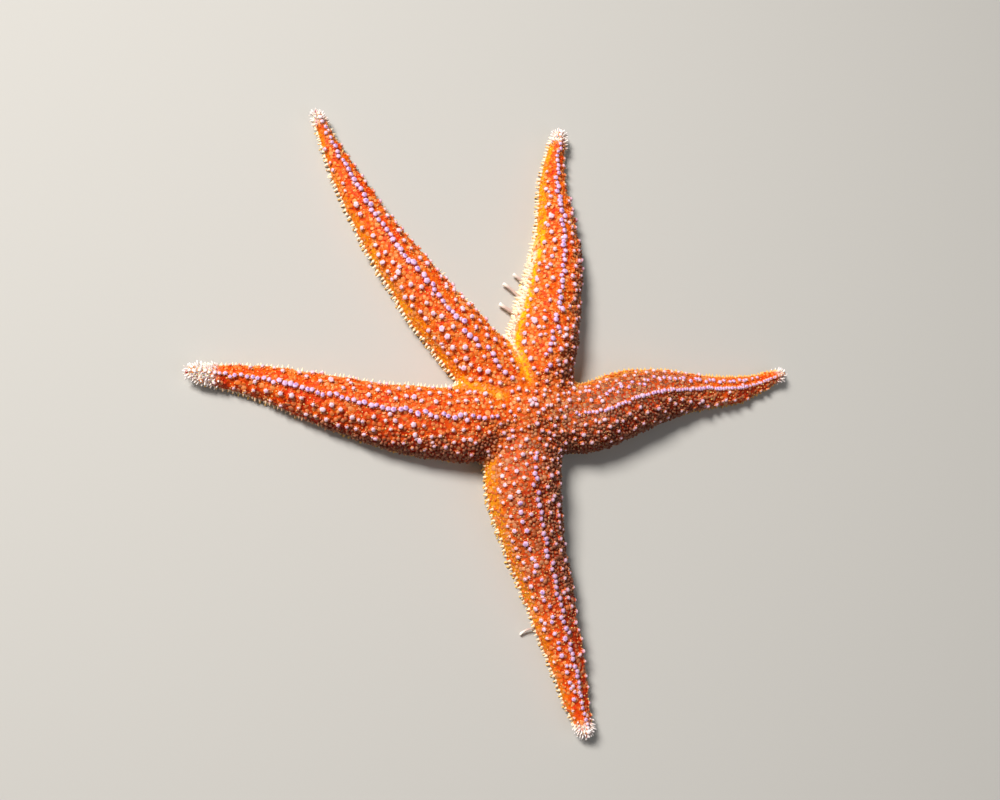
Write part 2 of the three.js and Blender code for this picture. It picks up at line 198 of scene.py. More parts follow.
def along(places, values, at):
    """A smooth curve through values given at rising places, held level beyond both ends."""
    places, values = np.asarray(places, float), np.asarray(values, float)
    last = len(places) - 1
    at = np.clip(at, places[0], places[-1])
    start = np.clip(np.searchsorted(places, at, side="right") - 1, 0, last - 1)
    before = np.maximum(np.arange(last + 1) - 1, 0)
    after = np.minimum(np.arange(last + 1) + 1, last)
    slope = (values[after] - values[before]) / (places[after] - places[before])
    span = places[start + 1] - places[start]
    part = (at - places[start]) / span
    rise = values[start + 1] - values[start]
    curve = (1 - part) * (span * slope[start] - rise) - part * (span * slope[start + 1] - rise)
    return values[start] + part * rise + part * (1 - part) * curve


def middle_line(arm, share):
    """Places on an arm's middle line, on the floor, at shares of its length."""
    heading = math.radians(arm["heading"])
    ahead = np.array((math.cos(heading), math.sin(heading)))
    left = np.array((-ahead[1], ahead[0]))
    drift = np.array((0, *arm["drift"], 0))
    steps = np.arange(len(drift)) * arm["reach"] / (len(drift) - 1)
    knots = steps[:, None] * ahead + drift[:, None] * left
    knots = np.vstack((2 * knots[0] - knots[1], knots, 2 * knots[-1] - knots[-2]))
    at = np.clip(share, 0, 1) * (len(drift) - 1)
    span = np.minimum(at.astype(int), len(drift) - 2)
    part = (at - span)[:, None]
    before, start, end, after = (knots[span + step] for step in range(4))
    leaving, arriving = (end - before) / 2, (after - start) / 2
    return (
        (2 * part**3 - 3 * part**2 + 1) * start
        + (part**3 - 2 * part**2 + part) * leaving
        + (3 * part**2 - 2 * part**3) * end
        + (part**3 - part**2) * arriving
    )


def arm_sizes(arm, share):
    """Half-width, height and height of the sole above the floor, at shares of an arm."""
    width = along(GIRTH_AT, arm["girth"], share)
    end = np.maximum(0, (share - 1 + TIP_ROUNDING) / TIP_ROUNDING)
    half_width = width * np.maximum(TIP_END, np.sqrt(np.maximum(0, 1 - end * end)))
    own_height = 2 * half_width * HEIGHT_TO_WIDTH
    blend = ease(0, HEIGHT_BLEND, share)
    height = ARM_ROOT_HEIGHT * (1 - blend) + own_height * blend
    sole = TIP_LIFT * ease(TIP_LIFT_FROM, 1, share) + (width - half_width) * HEIGHT_TO_WIDTH * TIP_NOSE
    return half_width, height, sole


def sizes_before_tip(arm, share):
    """The same, without the closing of the tip."""
    return arm_sizes(arm, np.minimum(share, 1 - TIP_ROUNDING))


def arm_frames(arm, share):
    """The middle of an arm on the floor, its way ahead and its right, at shares of its length."""
    centre = middle_line(arm, share)
    step = 0.002
    ahead = unit_rows(middle_line(arm, share + step) - middle_line(arm, share - step))
    right = np.column_stack((ahead[:, 1], -ahead[:, 0]))
    return centre, ahead, right


def on_arm(arm, share, turn):
    """Points of an arm's outer shape. turn runs from the right margin over the crest, in radians."""
    share, turn = np.broadcast_arrays(np.asarray(share, float), np.asarray(turn, float))
    centre, _, right = arm_frames(arm, share)
    half_width, height, sole = arm_sizes(arm, share)
    across = half_width * np.cos(turn)
    rise = np.sin(turn)
    dome = WIDEST_AT + (1 - WIDEST_AT) * rise
    under = WIDEST_AT * np.maximum(0, 1 + 2 * rise)
    up = sole + height * np.where(rise > 0, dome, under)
    return np.column_stack((centre + across[:, None] * right, up))


def vertex_places(shape):
    shape.verts.ensure_lookup_table()
    return np.array([vertex.co for vertex in shape.verts])


def place_vertices(shape, places):
    for vertex, place in zip(shape.verts, places):
        vertex.co = place


def rough_arm(arm):
    """A cylinder with rings that crowd towards its tip, bent and swollen into an arm."""
    shape = bmesh.new()
    bmesh.ops.create_cone(shape, cap_ends=True, segments=ARM_SIDES, radius1=1, radius2=1, depth=1)
    lengthwise = [e for e in shape.edges if abs(e.verts[0].co.z - e.verts[1].co.z) > 0.5]
    bmesh.ops.subdivide_edges(shape, edges=lengthwise, cuts=ARM_RINGS, use_grid_fill=False)
    unit = vertex_places(shape)
    share = 1 - (0.5 - unit[:, 2]) ** 1.5
    place_vertices(shape, on_arm(arm, share, np.arctan2(unit[:, 1], unit[:, 0])))
    bmesh.ops.recalc_face_normals(shape, faces=shape.faces)
    return shape


def rough_disc():
    """A sphere swollen into a dome, with its lower half laid flat as a narrower sole."""
    shape = bmesh.new()
    bmesh.ops.create_uvsphere(shape, u_segments=48, v_segments=24, radius=1)
    unit = vertex_places(shape)
    around = np.arctan2(unit[:, 1], unit[:, 0])
    level = np.clip(unit[:, 2], 0, 1)
    lower = unit[:, 2] < -0.1
    radius = DISC_RADIUS * (1 - level**2) ** (1 / DISC_BULGE) * np.where(lower, DISC_SOLE, 1)
    radius *= np.where(abs(unit[:, 2]) > 0.9999, 0, 1)
    height = DISC_HEIGHT * level ** (2 / DISC_BULGE) + np.where(lower, 0, DISC_RIM_HEIGHT)
    place_vertices(shape, np.column_stack((radius * np.cos(around), radius * np.sin(around), height)))
    return shape


def joined(shapes):
    """Several shapes as one mesh."""
    whole = bpy.data.meshes.new("joined")
    together = bmesh.new()
    for shape in shapes:
        shape.to_mesh(whole)
        together.from_mesh(whole)
        shape.free()
    together.to_mesh(whole)
    together.free()
    return whole


def link(name, mesh):
    piece = bpy.data.objects.new(name, mesh)
    bpy.context.scene.collection.objects.link(piece)
    return piece


def get_places(mesh):
    flat = np.empty(len(mesh.vertices) * 3, np.float32)
    mesh.vertices.foreach_get("co", flat)
    return flat.reshape(-1, 3).astype(float)


def set_places(mesh, places):
    mesh.vertices.foreach_set("co", np.asarray(places, np.float32).ravel())
    mesh.update()


def get_normals(mesh):
    flat = np.empty(len(mesh.vertices) * 3, np.float32)
    mesh.vertex_normals.foreach_get("vector", flat)
    return flat.reshape(-1, 3).astype(float)


def edge_ends(mesh):
    flat = np.empty(len(mesh.edges) * 2, np.int64)
    mesh.edges.foreach_get("vertices", flat)
    return flat.reshape(-1, 2)


def smoothed(values, ends, rounds, share=0.5, weight=None):
    """Each round moves every vertex's value towards the mean of its neighbours'."""
    count = len(values)
    degree = np.bincount(ends.ravel(), minlength=count)[:, None]
    pull = share if weight is None else share * weight[:, None]
    for _ in range(rounds):
        total = np.column_stack([
            np.bincount(ends[:, 0], values[ends[:, 1], axis], count)
            + np.bincount(ends[:, 1], values[ends[:, 0], axis], count)
            for axis in range(values.shape[1])
        ])
        values = values + pull * (total / degree - values)
    return values


def arm_coordinates(places):
    """For points of the body: their arm, their share of its length, their offset to its left
    in mm, and how much nearer that arm's middle line is than the next arm's, in half-widths."""
    best = np.full(len(places), 1e9)
    second = np.full(len(places), 1e9)
    which = np.zeros(len(places), int)
    shares = np.zeros(len(places))
    offsets = np.zeros(len(places))
    stops = np.linspace(0, 1, STOPS)
    for number, arm in enumerate(ARMS):
        line, ahead, right = arm_frames(arm, stops)
        half_width = sizes_before_tip(arm, stops)[0]
        for start in range(0, len(places), BLOCK):
            block = places[start:start + BLOCK, :2]
            gap = np.linalg.norm(block[:, None] - line[None], axis=2)
            near = gap.argmin(axis=1)
            away = block - line[near]
            along_line = (away * ahead[near]).sum(axis=1)
            offset = -(away * right[near]).sum(axis=1)
            beyond = np.where((near == 0) | (near == STOPS - 1), along_line, 0)
            relative = np.hypot(offset, beyond) / half_width[near]
            rest = slice(start, start + len(block))
            better = relative < best[rest]
            second[rest] = np.where(better, best[rest], np.minimum(second[rest], relative))
            rows = np.arange(start, start + len(block))[better]
            best[rows] = relative[better]
            which[rows] = number
            shares[rows] = np.clip(stops[near] + along_line / arm["reach"], 0, 1)[better]
            offsets[rows] = offset[better]
    return which, shares, offsets, second - best


def remeshed(mesh, voxel):
    """The mesh again as one closed skin of even, voxel-sized faces."""
    piece = link("rough", mesh)
    wrap = piece.modifiers.new("wrap", "REMESH")
    wrap.mode = "VOXEL"
    wrap.voxel_size = voxel
    depsgraph = bpy.context.evaluated_depsgraph_get()
    even = bpy.data.meshes.new_from_object(piece.evaluated_get(depsgraph))
    bpy.data.objects.remove(piece)
    return even


def groove_lift(shares, offsets, arms):
    """How far the sole rises into the groove under an arm, in mm."""
    lift = np.zeros(len(shares))
    for number, arm in enumerate(ARMS):
        mine = arms == number
        half_width, height, _ = sizes_before_tip(arm, shares[mine])
        across = np.abs(offsets[mine]) / (half_width * GROOVE_WIDTH)
        vault = 1 - ease(0.55, 1.25, across)
        fading = 1 - ease(GROOVE_END - 0.05, GROOVE_END, shares[mine])
        lift[mine] = vault * height * GROOVE_DEPTH * fading
    return lift


body = joined([rough_arm(arm) for arm in ARMS] + [rough_disc()])
body = remeshed(body, ROUGH_VOXEL)
places = smoothed(get_places(body), edge_ends(body), 8)
arms, shares, offsets, _ = arm_coordinates(places)
distance = from_middle(places)
facing = get_normals(body)[:, 2]
sole = ease(0.35, 0.75, -facing)
pit = MOUTH_PIT_DEPTH * (1 - ease(*MOUTH_PIT_EDGE, distance))
places[:, 2] += sole * np.maximum(pit, groove_lift(shares, offsets, arms))
set_places(body, places)
skin_mesh = remeshed(body, SKIN_VOXEL)


# --- Skin ------------------------------------------------------------------------------------
# The skin is the animal's whole soft body in one seamless piece, leathery over a mesh of small
# chalk plates. It swells round each knob and dips between them, and it is moist.
KNOB_SPACING = 2.35
CREST_FROM = 11                     # mm from the middle of the disc
CREST_TO = 0.985                    # share of the arm's reach
CREST_SHARE = 0.87                  # of its reach, that the crest of an arm takes up
CREST_CROWDING = 1.12               # how many more knobs it has than would fit evenly
CREST_TIGHTENING = 0.16             # how they close up towards the tip
CREST_GAP = 2.5                     # how far the other knobs keep from the crest's row
SIDE_ROWS = [
    # arm from 0 to 4, degrees up from its right margin, first and last place in mm, gap, size
    (4, 116, 22, 76, 1.75, 0.78),
    (3, 63, 24, 76, 2.25, 0.86),
]
BACK_SHARE = 0.4                    # of the back's points, those on which a knob may stand
KNOB_MOUND = 0.38
DOUBLED_KNOBS = 0.14                # the share of knobs that have a second close by
DOUBLED_GAP = 1.2
DISC_CLUSTER = (-1.0, 2.3)          # a close bunch of knobs beside the middle of the disc
CLUSTER_RADIUS = 0.75
CLUSTER_ANGLES = (0.4, 1.9, 3.0, 4.2, 5.4)
SIEVE_CLEARING = 2.4                # no knob stands nearer to the sieve plate's middle
SKIN_CLEARANCE = 0.25               # the skin's lowest places above the floor
# The way a surface faces when it is turned from the key lamp; the painted shade follows it.
SHADY_SIDE = np.array((0.62, -0.72, -0.25))
random = np.random.default_rng(11)


def linear(step):
    """One part of a colour, from 0 to 255 in everyday steps, made linear for the shader."""
    return step / 255 / 12.92 if step <= 10 else ((step / 255 + 0.055) / 1.055) ** 2.4


def colour(red, green, blue):
    return linear(red), linear(green), linear(blue)


def add_marks(mesh, name, values):
    """Gives a mesh's points a marking's strengths, which materials read by its name."""
    layer = mesh.attributes.new(name, "FLOAT", "POINT")
    layer.data.foreach_set("value", np.asarray(values, np.float32))


def attribute(tree, name):
    node = tree.nodes.new("ShaderNodeAttribute")
    node.attribute_name = name
    return node.outputs["Fac"]


def mix(tree, share, first, second):
    """Blends two colours, each a colour or another node's output."""
    node = tree.nodes.new("ShaderNodeMix")
    node.data_type = "RGBA"
    tree.links.new(share, node.inputs["Factor"])
    for socket, source in (("A", first), ("B", second)):
        entry = next(s for s in node.inputs if s.name == socket and s.type == "RGBA")
        if hasattr(source, "node"):
            tree.links.new(source, entry)
        else:
            entry.default_value = (*source, 1)
    return next(s for s in node.outputs if s.type == "RGBA")


def between(tree, value, low, high):
    """Eases a value from 0 at low to 1 at high."""
    node = tree.nodes.new("ShaderNodeMapRange")
    node.interpolation_type = "SMOOTHSTEP"
    tree.links.new(value, node.inputs["Value"])
    node.inputs["From Min"].default_value = low
    node.inputs["From Max"].default_value = high
    return node.outputs["Result"]


def times(tree, first, second):
    """Two values multiplied, the second a number or another node's output."""
    node = tree.nodes.new("ShaderNodeMath")
    node.operation = "MULTIPLY"
    tree.links.new(first, node.inputs[0])
    if hasattr(second, "node"):
        tree.links.new(second, node.inputs[1])
    else:
        node.inputs[1].default_value = second
    return node.outputs["Value"]


def texture(tree, kind, scale):
    """A texture on object coordinates, with its scale in cycles per metre."""
    place = tree.nodes.new("ShaderNodeTexCoord")
    node = tree.nodes.new(kind)
    node.inputs["Scale"].default_value = scale
    tree.links.new(place.outputs["Object"], node.inputs["Vector"])
    return node


def noise_texture(tree, scale, detail):
    """Cloudy noise, finer in its detail with a higher number."""
    node = texture(tree, "ShaderNodeTexNoise", scale)
    node.inputs["Detail"].default_value = detail
    node.inputs["Roughness"].default_value = 0.55
    return node.outputs["Fac"]


def cells(tree, scale):
    """How far points are from the middles of scattered cells."""
    return texture(tree, "ShaderNodeTexVoronoi", scale).outputs["Distance"]


def blotches(tree, scale, detail, low, high):
    """Scattered patches, where that noise rises from low to high."""
    return between(tree, noise_texture(tree, scale, detail), low, high)


def rising(tree, mark, low, high):
    """A marking, eased from 0 at low to 1 at high."""
    return between(tree, attribute(tree, mark), low, high)


def stained(tree, base, mark, stain, strength=1.0):
    """A colour with another laid over it where a marking says."""
    share = attribute(tree, mark)
    return mix(tree, times(tree, share, strength) if strength < 1 else share, base, stain)


def paint(tree, shader, finish):
    tree.links.new(finish, shader.inputs["Base Color"])


def let_light_in(shader, weight, depth, spread=None):
    """How much light a surface lets in, how deep in mm, and how far red, green and blue spread."""
    shader.inputs["Subsurface Weight"].default_value = weight
    shader.inputs["Subsurface Scale"].default_value = depth * MM
    if spread:
        shader.inputs["Subsurface Radius"].default_value = spread


def bump(tree, shader, height, depth, below=None):
    """Raises fine relief on a surface, to a depth in mm."""
    node = tree.nodes.new("ShaderNodeBump")
    node.inputs["Strength"].default_value = 1.0
    node.inputs["Distance"].default_value = depth * MM
    tree.links.new(height, node.inputs["Height"])
    if below:
        tree.links.new(below, node.inputs["Normal"])
    tree.links.new(node.outputs["Normal"], shader.inputs["Normal"])
    return node.outputs["Normal"]


ORANGE = colour(240, 106, 2)
RED_ORANGE = colour(224, 46, 0)
YELLOW = colour(255, 194, 4)
SCARLET = colour(206, 32, 4)
TIP_WHITE = colour(250, 236, 224)
CREAM = colour(240, 200, 140)


def flesh_colour(tree):
    """The flesh: orange mottled with red, with yellow margins, white tips and a cream sole. The
    red is partly painted shade and the yellow of the margins partly painted light.
    """
    patches = blotches(tree, 130, 4.0, 0.46, 0.64)
    blots = blotches(tree, 620, 3.0, 0.46, 0.62)
    flecks = blotches(tree, 1700, 3.0, 0.48, 0.66)
    result = mix(tree, times(tree, patches, 0.6), ORANGE, RED_ORANGE)
    result = mix(tree, times(tree, blots, 0.75), result, RED_ORANGE)
    result = mix(tree, times(tree, flecks, 0.7), result, colour(242, 138, 30))
    result = stained(tree, result, "red", SCARLET, 0.85)
    for mark, stain in (("margin", YELLOW), ("under", CREAM), ("tip", TIP_WHITE)):
        result = stained(tree, result, mark, stain)
    return result


def by_arm(arms, trait):
    """Each point's value of a trait of the arm that it is on."""
    return np.array([arm[trait] for arm in ARMS])[arms]


def body_marks(places, facing):
    """Where points lie on the animal: arm, share and offset, then how near a margin, and how
    strongly they are in a yellow margin, on the sole and in a white tip, and if in a hollow."""
    arms, shares, offsets, lead = arm_coordinates(places)
    half_width, heights, soles = (np.zeros(len(places)) for _ in range(3))
    for number, arm in enumerate(ARMS):
        mine = arms == number
        half_width[mine], heights[mine], soles[mine] = sizes_before_tip(arm, shares[mine])
    relative = np.abs(offsets) / half_width
    distance = from_middle(places)
    low = 1 - ease(0.25, 0.85, (places[:, 2] - soles) / heights)
    # Creases between the arms turn yellow like a margin only on the side towards the lamp, which is painted
    # light.
    to_light = -(places[:, :2] @ SHADY_SIDE[:2]) / np.maximum(distance, 1)
    crease = (1 - ease(0.0, 0.5, lead)) * ease(5, 13, distance) * ease(-0.2, 0.5, to_light)
    margin = np.maximum(low, crease * 0.62)
    under = ease(0.1, 0.6, -facing)
    white_from = by_arm(arms, "white_from")
    tip = ease(white_from, white_from + 0.032, shares)
    hollow = (relative < 0.45) & ((places[:, 2] - soles) / heights < 0.38)
    hollow |= (distance < 8) & (places[:, 2] < 7)
    return arms, shares, offsets, relative, margin, under, tip, hollow


def brightness(facing):
    """How far a surface turns from the shady side."""
    return ease(-0.1, 0.4, -(facing @ SHADY_SIDE))


def ripple(places, scale):
    """Smooth random heights at places, with a scale in cycles per mm."""
    return np.array([noise.noise(Vector(place) * scale) for place in places])


def scattered(places, spacing, taken=()):
    """Picks points in random order, each no nearer to one picked before than its own spacing."""
    cell = float(spacing.max())
    grid = {}
    around = [(i, j, k) for i in (-1, 0, 1) for j in (-1, 0, 1) for k in (-1, 0, 1)]
    picked = []
    for x, y, z in np.asarray(taken).tolist():
        grid.setdefault((int(x // cell), int(y // cell), int(z // cell)), []).append((x, y, z))
    spots, least = places.tolist(), (spacing**2).tolist()
    for index in random.permutation(len(spots)).tolist():
        x, y, z = spots[index]
        limit = least[index]
        home = int(x // cell), int(y // cell), int(z // cell)
        close = (grid.get((home[0] + i, home[1] + j, home[2] + k), ()) for i, j, k in around)
        if all((x - u)**2 + (y - v)**2 + (z - w)**2 > limit for near in close for u, v, w in near):
            grid.setdefault(home, []).append((x, y, z))
            picked.append(index)
    return np.array(picked)


ends = edge_ends(skin_mesh)
places = smoothed(get_places(skin_mesh), ends, 6)
lead = arm_coordinates(places)[3]
distance = from_middle(places)
crotch = (1 - ease(0.05, 0.45, lead)) * (1 - ease(24, 34, distance)) * ease(6, 10, distance)
places = smoothed(places, ends, 60, weight=crotch)
set_places(skin_mesh, places)
facing = get_normals(skin_mesh)
depth = COAT_DEPTH + (SOLE_DEPTH - COAT_DEPTH) * ease(0.3, 0.8, -facing[:, 2])
places = places - facing * depth[:, None]
arms, shares, offsets, relative, margin, under, tip, hollow = body_marks(places, facing[:, 2])

# Where the knobs stand: a close row along each arm's crest, a second row on the flanks of two
# arms, a bunch on the disc, and the rest spread over the back.
sieve_low, sieve_high = (np.array(corner - DISC_CENTRE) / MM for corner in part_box("madreporite"))
sieve = (sieve_low + sieve_high) / 2
crest, crest_sizes = [], []
for arm in ARMS:
    steps = np.linspace(0, 1, int(arm["reach"] * CREST_SHARE / arm["chain"] * CREST_CROWDING))
    steps = steps - CREST_TIGHTENING * steps * (steps - 1)
    steps = CREST_FROM + (arm["reach"] * CREST_TO - CREST_FROM) * steps
    steps = steps + random.normal(0, 0.1 * arm["chain"], len(steps))
    turn = math.radians(90) + random.normal(0, 0.06 * (arm["chain"] / 1.75) ** 3, len(steps))
    crest.append(on_arm(arm, np.clip(steps / arm["reach"], 0, 1), turn))
    crest_sizes.append(np.full(len(steps), 0.28 + 0.43 * arm["chain"]))
for number, turn, first, last, gap, size in SIDE_ROWS:
    steps = np.arange(first, last, gap)
    steps = steps + random.normal(0, 0.14 * gap, len(steps))
    turns = math.radians(turn) + random.normal(0, 0.05, len(steps))
    crest.append(on_arm(ARMS[number], steps / ARMS[number]["reach"], turns))
    crest_sizes.append(random.normal(size, 0.1 * size, len(steps)))
crest, crest_sizes = np.vstack(crest), np.concatenate(crest_sizes)
bunch = CLUSTER_RADIUS * np.array([(math.cos(angle), math.sin(angle)) for angle in CLUSTER_ANGLES])
bunch = np.column_stack((bunch + DISC_CLUSTER, np.full(len(bunch), DISC_HEIGHT)))
above = (facing[:, 2] > 0.02) & (under < 0.1) & ~hollow
bright = brightness(facing)
gold_on_lit_side = (0.5 + 0.3 * by_arm(arms, "gold")) * bright
back = np.flatnonzero(above & (margin < 0.9 - gold_on_lit_side - 0.5 * (1 - bright)) & (shares < CREST_TO))
back = back[random.random(len(back)) < BACK_SHARE]
away = ease(0.0, 0.5, facing[back] @ SHADY_SIDE)
spacing = KNOB_SPACING * (1 - 0.18 * ease(0.6, 0.95, relative[back]) + 0.25 * away)
crest_gap = np.array([min(np.linalg.norm(crest - place, axis=1)) for place in places[back]])
back, spacing = back[crest_gap > CREST_GAP], spacing[crest_gap > CREST_GAP]
spacing = spacing * (1 - 0.3 * ease(0.8, 0.97, shares[back]))
spacing = spacing * (1 - 0.14 * (1 - ease(9, 20, from_middle(places[back]))))
picked = scattered(places[back], spacing, taken=np.vstack((crest, bunch)))
knob_targets = np.vstack((crest, bunch, places[back][picked]))
doubled = knob_targets[random.random(len(knob_targets)) < DOUBLED_KNOBS]
angle = random.random(len(doubled)) * FULL_TURN
doubled = doubled + DOUBLED_GAP * np.column_stack((np.cos(angle), np.sin(angle), np.zeros(len(angle))))
knob_targets = np.vstack((knob_targets, doubled))
clear = np.linalg.norm(knob_targets[:, :2] - sieve[:2], axis=1) > SIEVE_CLEARING
in_crest = (np.arange(len(knob_targets)) < len(crest))[clear]
knob_targets = knob_targets[clear]
crest_sizes = crest_sizes[clear[:len(crest)]]

knob_tree = KDTree(len(knob_targets))
for index, place in enumerate(knob_targets):
    knob_tree.insert(place, index)
knob_tree.balance()
to_knob = np.array([knob_tree.find(place)[2] for place in places])
valley = ease(0.7, 1.5, to_knob) * (facing[:, 2] > -0.2)
lift = KNOB_MOUND * np.exp(-((to_knob / 0.85) ** 2)) + 0.45 * ripple(places, 0.16)
lift = lift + 0.14 * ripple(places, 0.9)
places = places + facing * (lift * (1 - under))[:, None]
places[:, 2] = np.maximum(places[:, 2], SKIN_CLEARANCE)
set_places(skin_mesh, smoothed(places, ends, 1, 0.3))
places = get_places(skin_mesh)
facing = get_normals(skin_mesh)
arms, shares, offsets, relative, margin, under, tip, hollow = body_marks(places, facing[:, 2])

# How strongly each marking shows on each point of the skin. The shade is painted shade,
# strongest on surfaces turned from the lamp, on the middle of the disc and further up some arms'
# flanks; it darkens and browns the colours there and also thickens the soft fingers.
distance = from_middle(places)
inner = 1 - ease(12, 20, distance)
fuzz_and_shade = by_arm(arms, "fuzz_and_shade")
shade = ease(-0.12, 0.42, facing @ SHADY_SIDE + np.maximum(0.18 * inner, fuzz_and_shade))
shade = smoothed(shade[:, None], ends, 2)[:, 0] * (1 - under) * (1 - 0.4 * ease(0.55, 0.8, shares))
fleshy = shade * (1 - 0.7 * ease(0.5, 0.78, shares))
# Where the fingers bloom thickly the skin is tanned, partly their own colour and partly painted shade,
# thickest on the arms furthest from the lamp and on the half of the disc turned from it.
bloom_and_shade = by_arm(arms, "bloom_and_shade") * (1 - ease(0.5, 0.72, shares))
to_shade = ease(-8, 8, places[:, :2] @ SHADY_SIDE[:2])
bloom_and_shade = (bloom_and_shade * (1 - inner) + (0.2 + 0.75 * to_shade) * inner) * (1 - margin)
dusk = np.maximum(shade, bloom_and_shade)
# The red is partly the arm's own colour and partly painted shade: it lies thicker on the flanks turned from
# the lamp and on the arms that lie furthest from it.
redness_and_shade = by_arm(arms, "red") * ease(8, 25, distance)
redness_and_shade = redness_and_shade * (0.35 + 0.65 * ease(-0.3, 0.3, facing @ SHADY_SIDE))
# The yellow of the margins is partly their own colour and partly painted light: stronger on the side turned
# to the lamp, weaker in the painted shade.
gold = by_arm(arms, "gold")
gold_on_lit_side = ease(0, 0.8 - 0.6 * gold, margin) * brightness(facing) * gold
yellow = np.maximum(gold_on_lit_side, 0.5 * margin * (1 - shade)) * (1 - under)
yellow = yellow * (1 - 0.45 * ease(0.5, 0.75, shares))
band = (arms == 0) * (offsets > 0) * ease(0.14, 0.2, shares) * (1 - ease(0.48, 0.62, shares))
band = band * ease(0.4, 0.6, margin)
pale = np.maximum(tip, band * (1 - under))
skin_faces = [tuple(face.vertices) for face in skin_mesh.polygons]
skin_surface = BVHTree.FromPolygons([Vector(place) for place in places], skin_faces)
first_corner = np.array([face[0] for face in skin_faces])


def chart(places):
    """The skin's own unwrap: five strips side by side, across each arm and along it."""
    arms, shares, offsets, _ = arm_coordinates(places)
    across = np.zeros(len(places))
    for number, arm in enumerate(ARMS):
        mine = arms == number
        _, height, sole = sizes_before_tip(arm, shares[mine])
        turn = np.arctan2(places[mine, 2] - sole - WIDEST_AT * height, offsets[mine])
        across[mine] = ((turn + math.pi / 2) % FULL_TURN) / FULL_TURN
    return np.column_stack(((arms + 0.03 + 0.94 * across) / 5, 0.02 + 0.96 * shares))


def finish_piece(name, mesh, material, slot, *nodes):
    """Brings a mesh from millimetres to its place in the frame, and hands it to the model."""
    set_places(mesh, get_places(mesh) * MM + np.array(DISC_CENTRE))
    mesh.shade_smooth()
    mesh.materials.clear()
    mesh.materials.append(material)
    piece = link(name, mesh)
    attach(piece, "root")
    if nodes:
        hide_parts(*nodes)


marks = {"margin": yellow, "red": redness_and_shade, "under": under, "tip": pale, "shade": shade, "bloom_and_shade": bloom_and_shade}
marks["valley"] = valley * (1 - margin)
for name, values in marks.items():
    add_marks(skin_mesh, name, values)

skin_material, tree, shader = new_material("skin", ORANGE, 0.48)
pits = cells(tree, 900)
deep = times(tree, attribute(tree, "valley"), between(tree, pits, 0.62, 0.2))
# The tan laid where fingers bloom is partly painted shade. The dull brown-red on the flank turned from the
# lamp and the darker red of the pits there are painted shade, while the scarlet of the pits elsewhere is
# the skin's own mottling.
flesh = stained(tree, flesh_colour(tree), "bloom_and_shade", colour(204, 94, 42), 0.65)
painted_shade_flesh = stained(tree, colour(140, 48, 20), "red", colour(182, 22, 2))
flesh = stained(tree, flesh, "shade", painted_shade_flesh, 0.75)
pit_red_and_shade = stained(tree, SCARLET, "shade", colour(116, 24, 6))
flesh = mix(tree, times(tree, deep, 0.75), flesh, pit_red_and_shade)
paint(tree, shader, flesh)
grain = bump(tree, shader, noise_texture(tree, 3200, 2.0), 0.08)
bump(tree, shader, pits, 0.3, below=grain)
let_light_in(shader, 0.7, 1.0, (1.0, 0.4, 0.1))
shader.inputs["Specular IOR Level"].default_value = 0.14
flesh_nodes = ["disc"] + [f"arm_{n}_{part}" for n in range(1, 6) for part in ("base", "middle", "tip")]
finish_piece("skin", skin_mesh, skin_material, "skin", *flesh_nodes)


# --- Knobs -----------------------------------------------------------------------------------
# The blunt chalk spines of the back, each a short stalk sheathed in skin with a rounded,
# lilac-white head. They stand in a chain along each arm's crest, in a second row on the fourth
# and fifth arms, and scattered beside them.
KNOB_PROFILE = [
    (0, -0.5), (0.64, -0.45), (0.54, 0.2), (0.68, 0.55), (0.68, 0.78), (0.45, 0.98), (0.2, 1.05), (0, 1.07),
]
KNOB_LOBES = 0.07
BAKE_PATCH = 0.003                  # how much of the unwrap's width each small copy takes


def turned(profile, sides, lobes=0.0):
    """A small solid turned from a profile of radii and heights, taken apart into arrays. Every
    second column of its points stands in or out by the share in lobes, which flutes it."""
    shape = bmesh.new()
    line = [shape.verts.new((radius, 0, height)) for radius, height in profile]
    edges = [shape.edges.new(pair) for pair in zip(line, line[1:])]
    bmesh.ops.spin(
        shape, geom=line + edges, cent=(0, 0, 0), axis=(0, 0, 1),
        angle=FULL_TURN, steps=sides, use_merge=True,
    )
    bmesh.ops.remove_doubles(shape, verts=shape.verts, dist=1e-4)
    bmesh.ops.recalc_face_normals(shape, faces=shape.faces)
    places = vertex_places(shape)
    flute = 1 + lobes * np.cos(sides / 2 * np.arctan2(places[:, 1], places[:, 0]))
    place_vertices(shape, places * np.column_stack((flute, flute, np.ones(len(flute)))))
    return taken_apart(shape)


def taken_apart(shape):
    """A shape as arrays: its places, the corners of its faces, and how many each face has."""
    shape.verts.index_update()
    places = vertex_places(shape)
    corners = np.concatenate([[v.index for v in f.verts] for f in shape.faces])
    sizes = np.array([len(f.verts) for f in shape.faces])
    shape.free()
    return places, corners, sizes


def rooted(targets):
    """The skin's nearest points to some targets, its normals there, and its nearest vertices."""
    found = [skin_surface.find_nearest(Vector(target)) for target in targets]
    spots = np.array([hit[0] for hit in found])
    nearest = first_corner[[hit[2] for hit in found]]
    return spots, facing[nearest], nearest


def leaned(ways, toward, amount):
    """Directions turned part of the way toward others."""
    return unit_rows(ways + np.asarray(toward) * np.broadcast_to(amount, len(ways))[:, None])


def tousled(ways, amount):
    """Directions that each lean their own way."""
    return leaned(ways, random.normal(0, 1, (len(ways), 3)), amount)


def uneven(count, spread, least, most):
    """Sizes that vary around 1."""
    return random.normal(1, spread, count).clip(least, most)


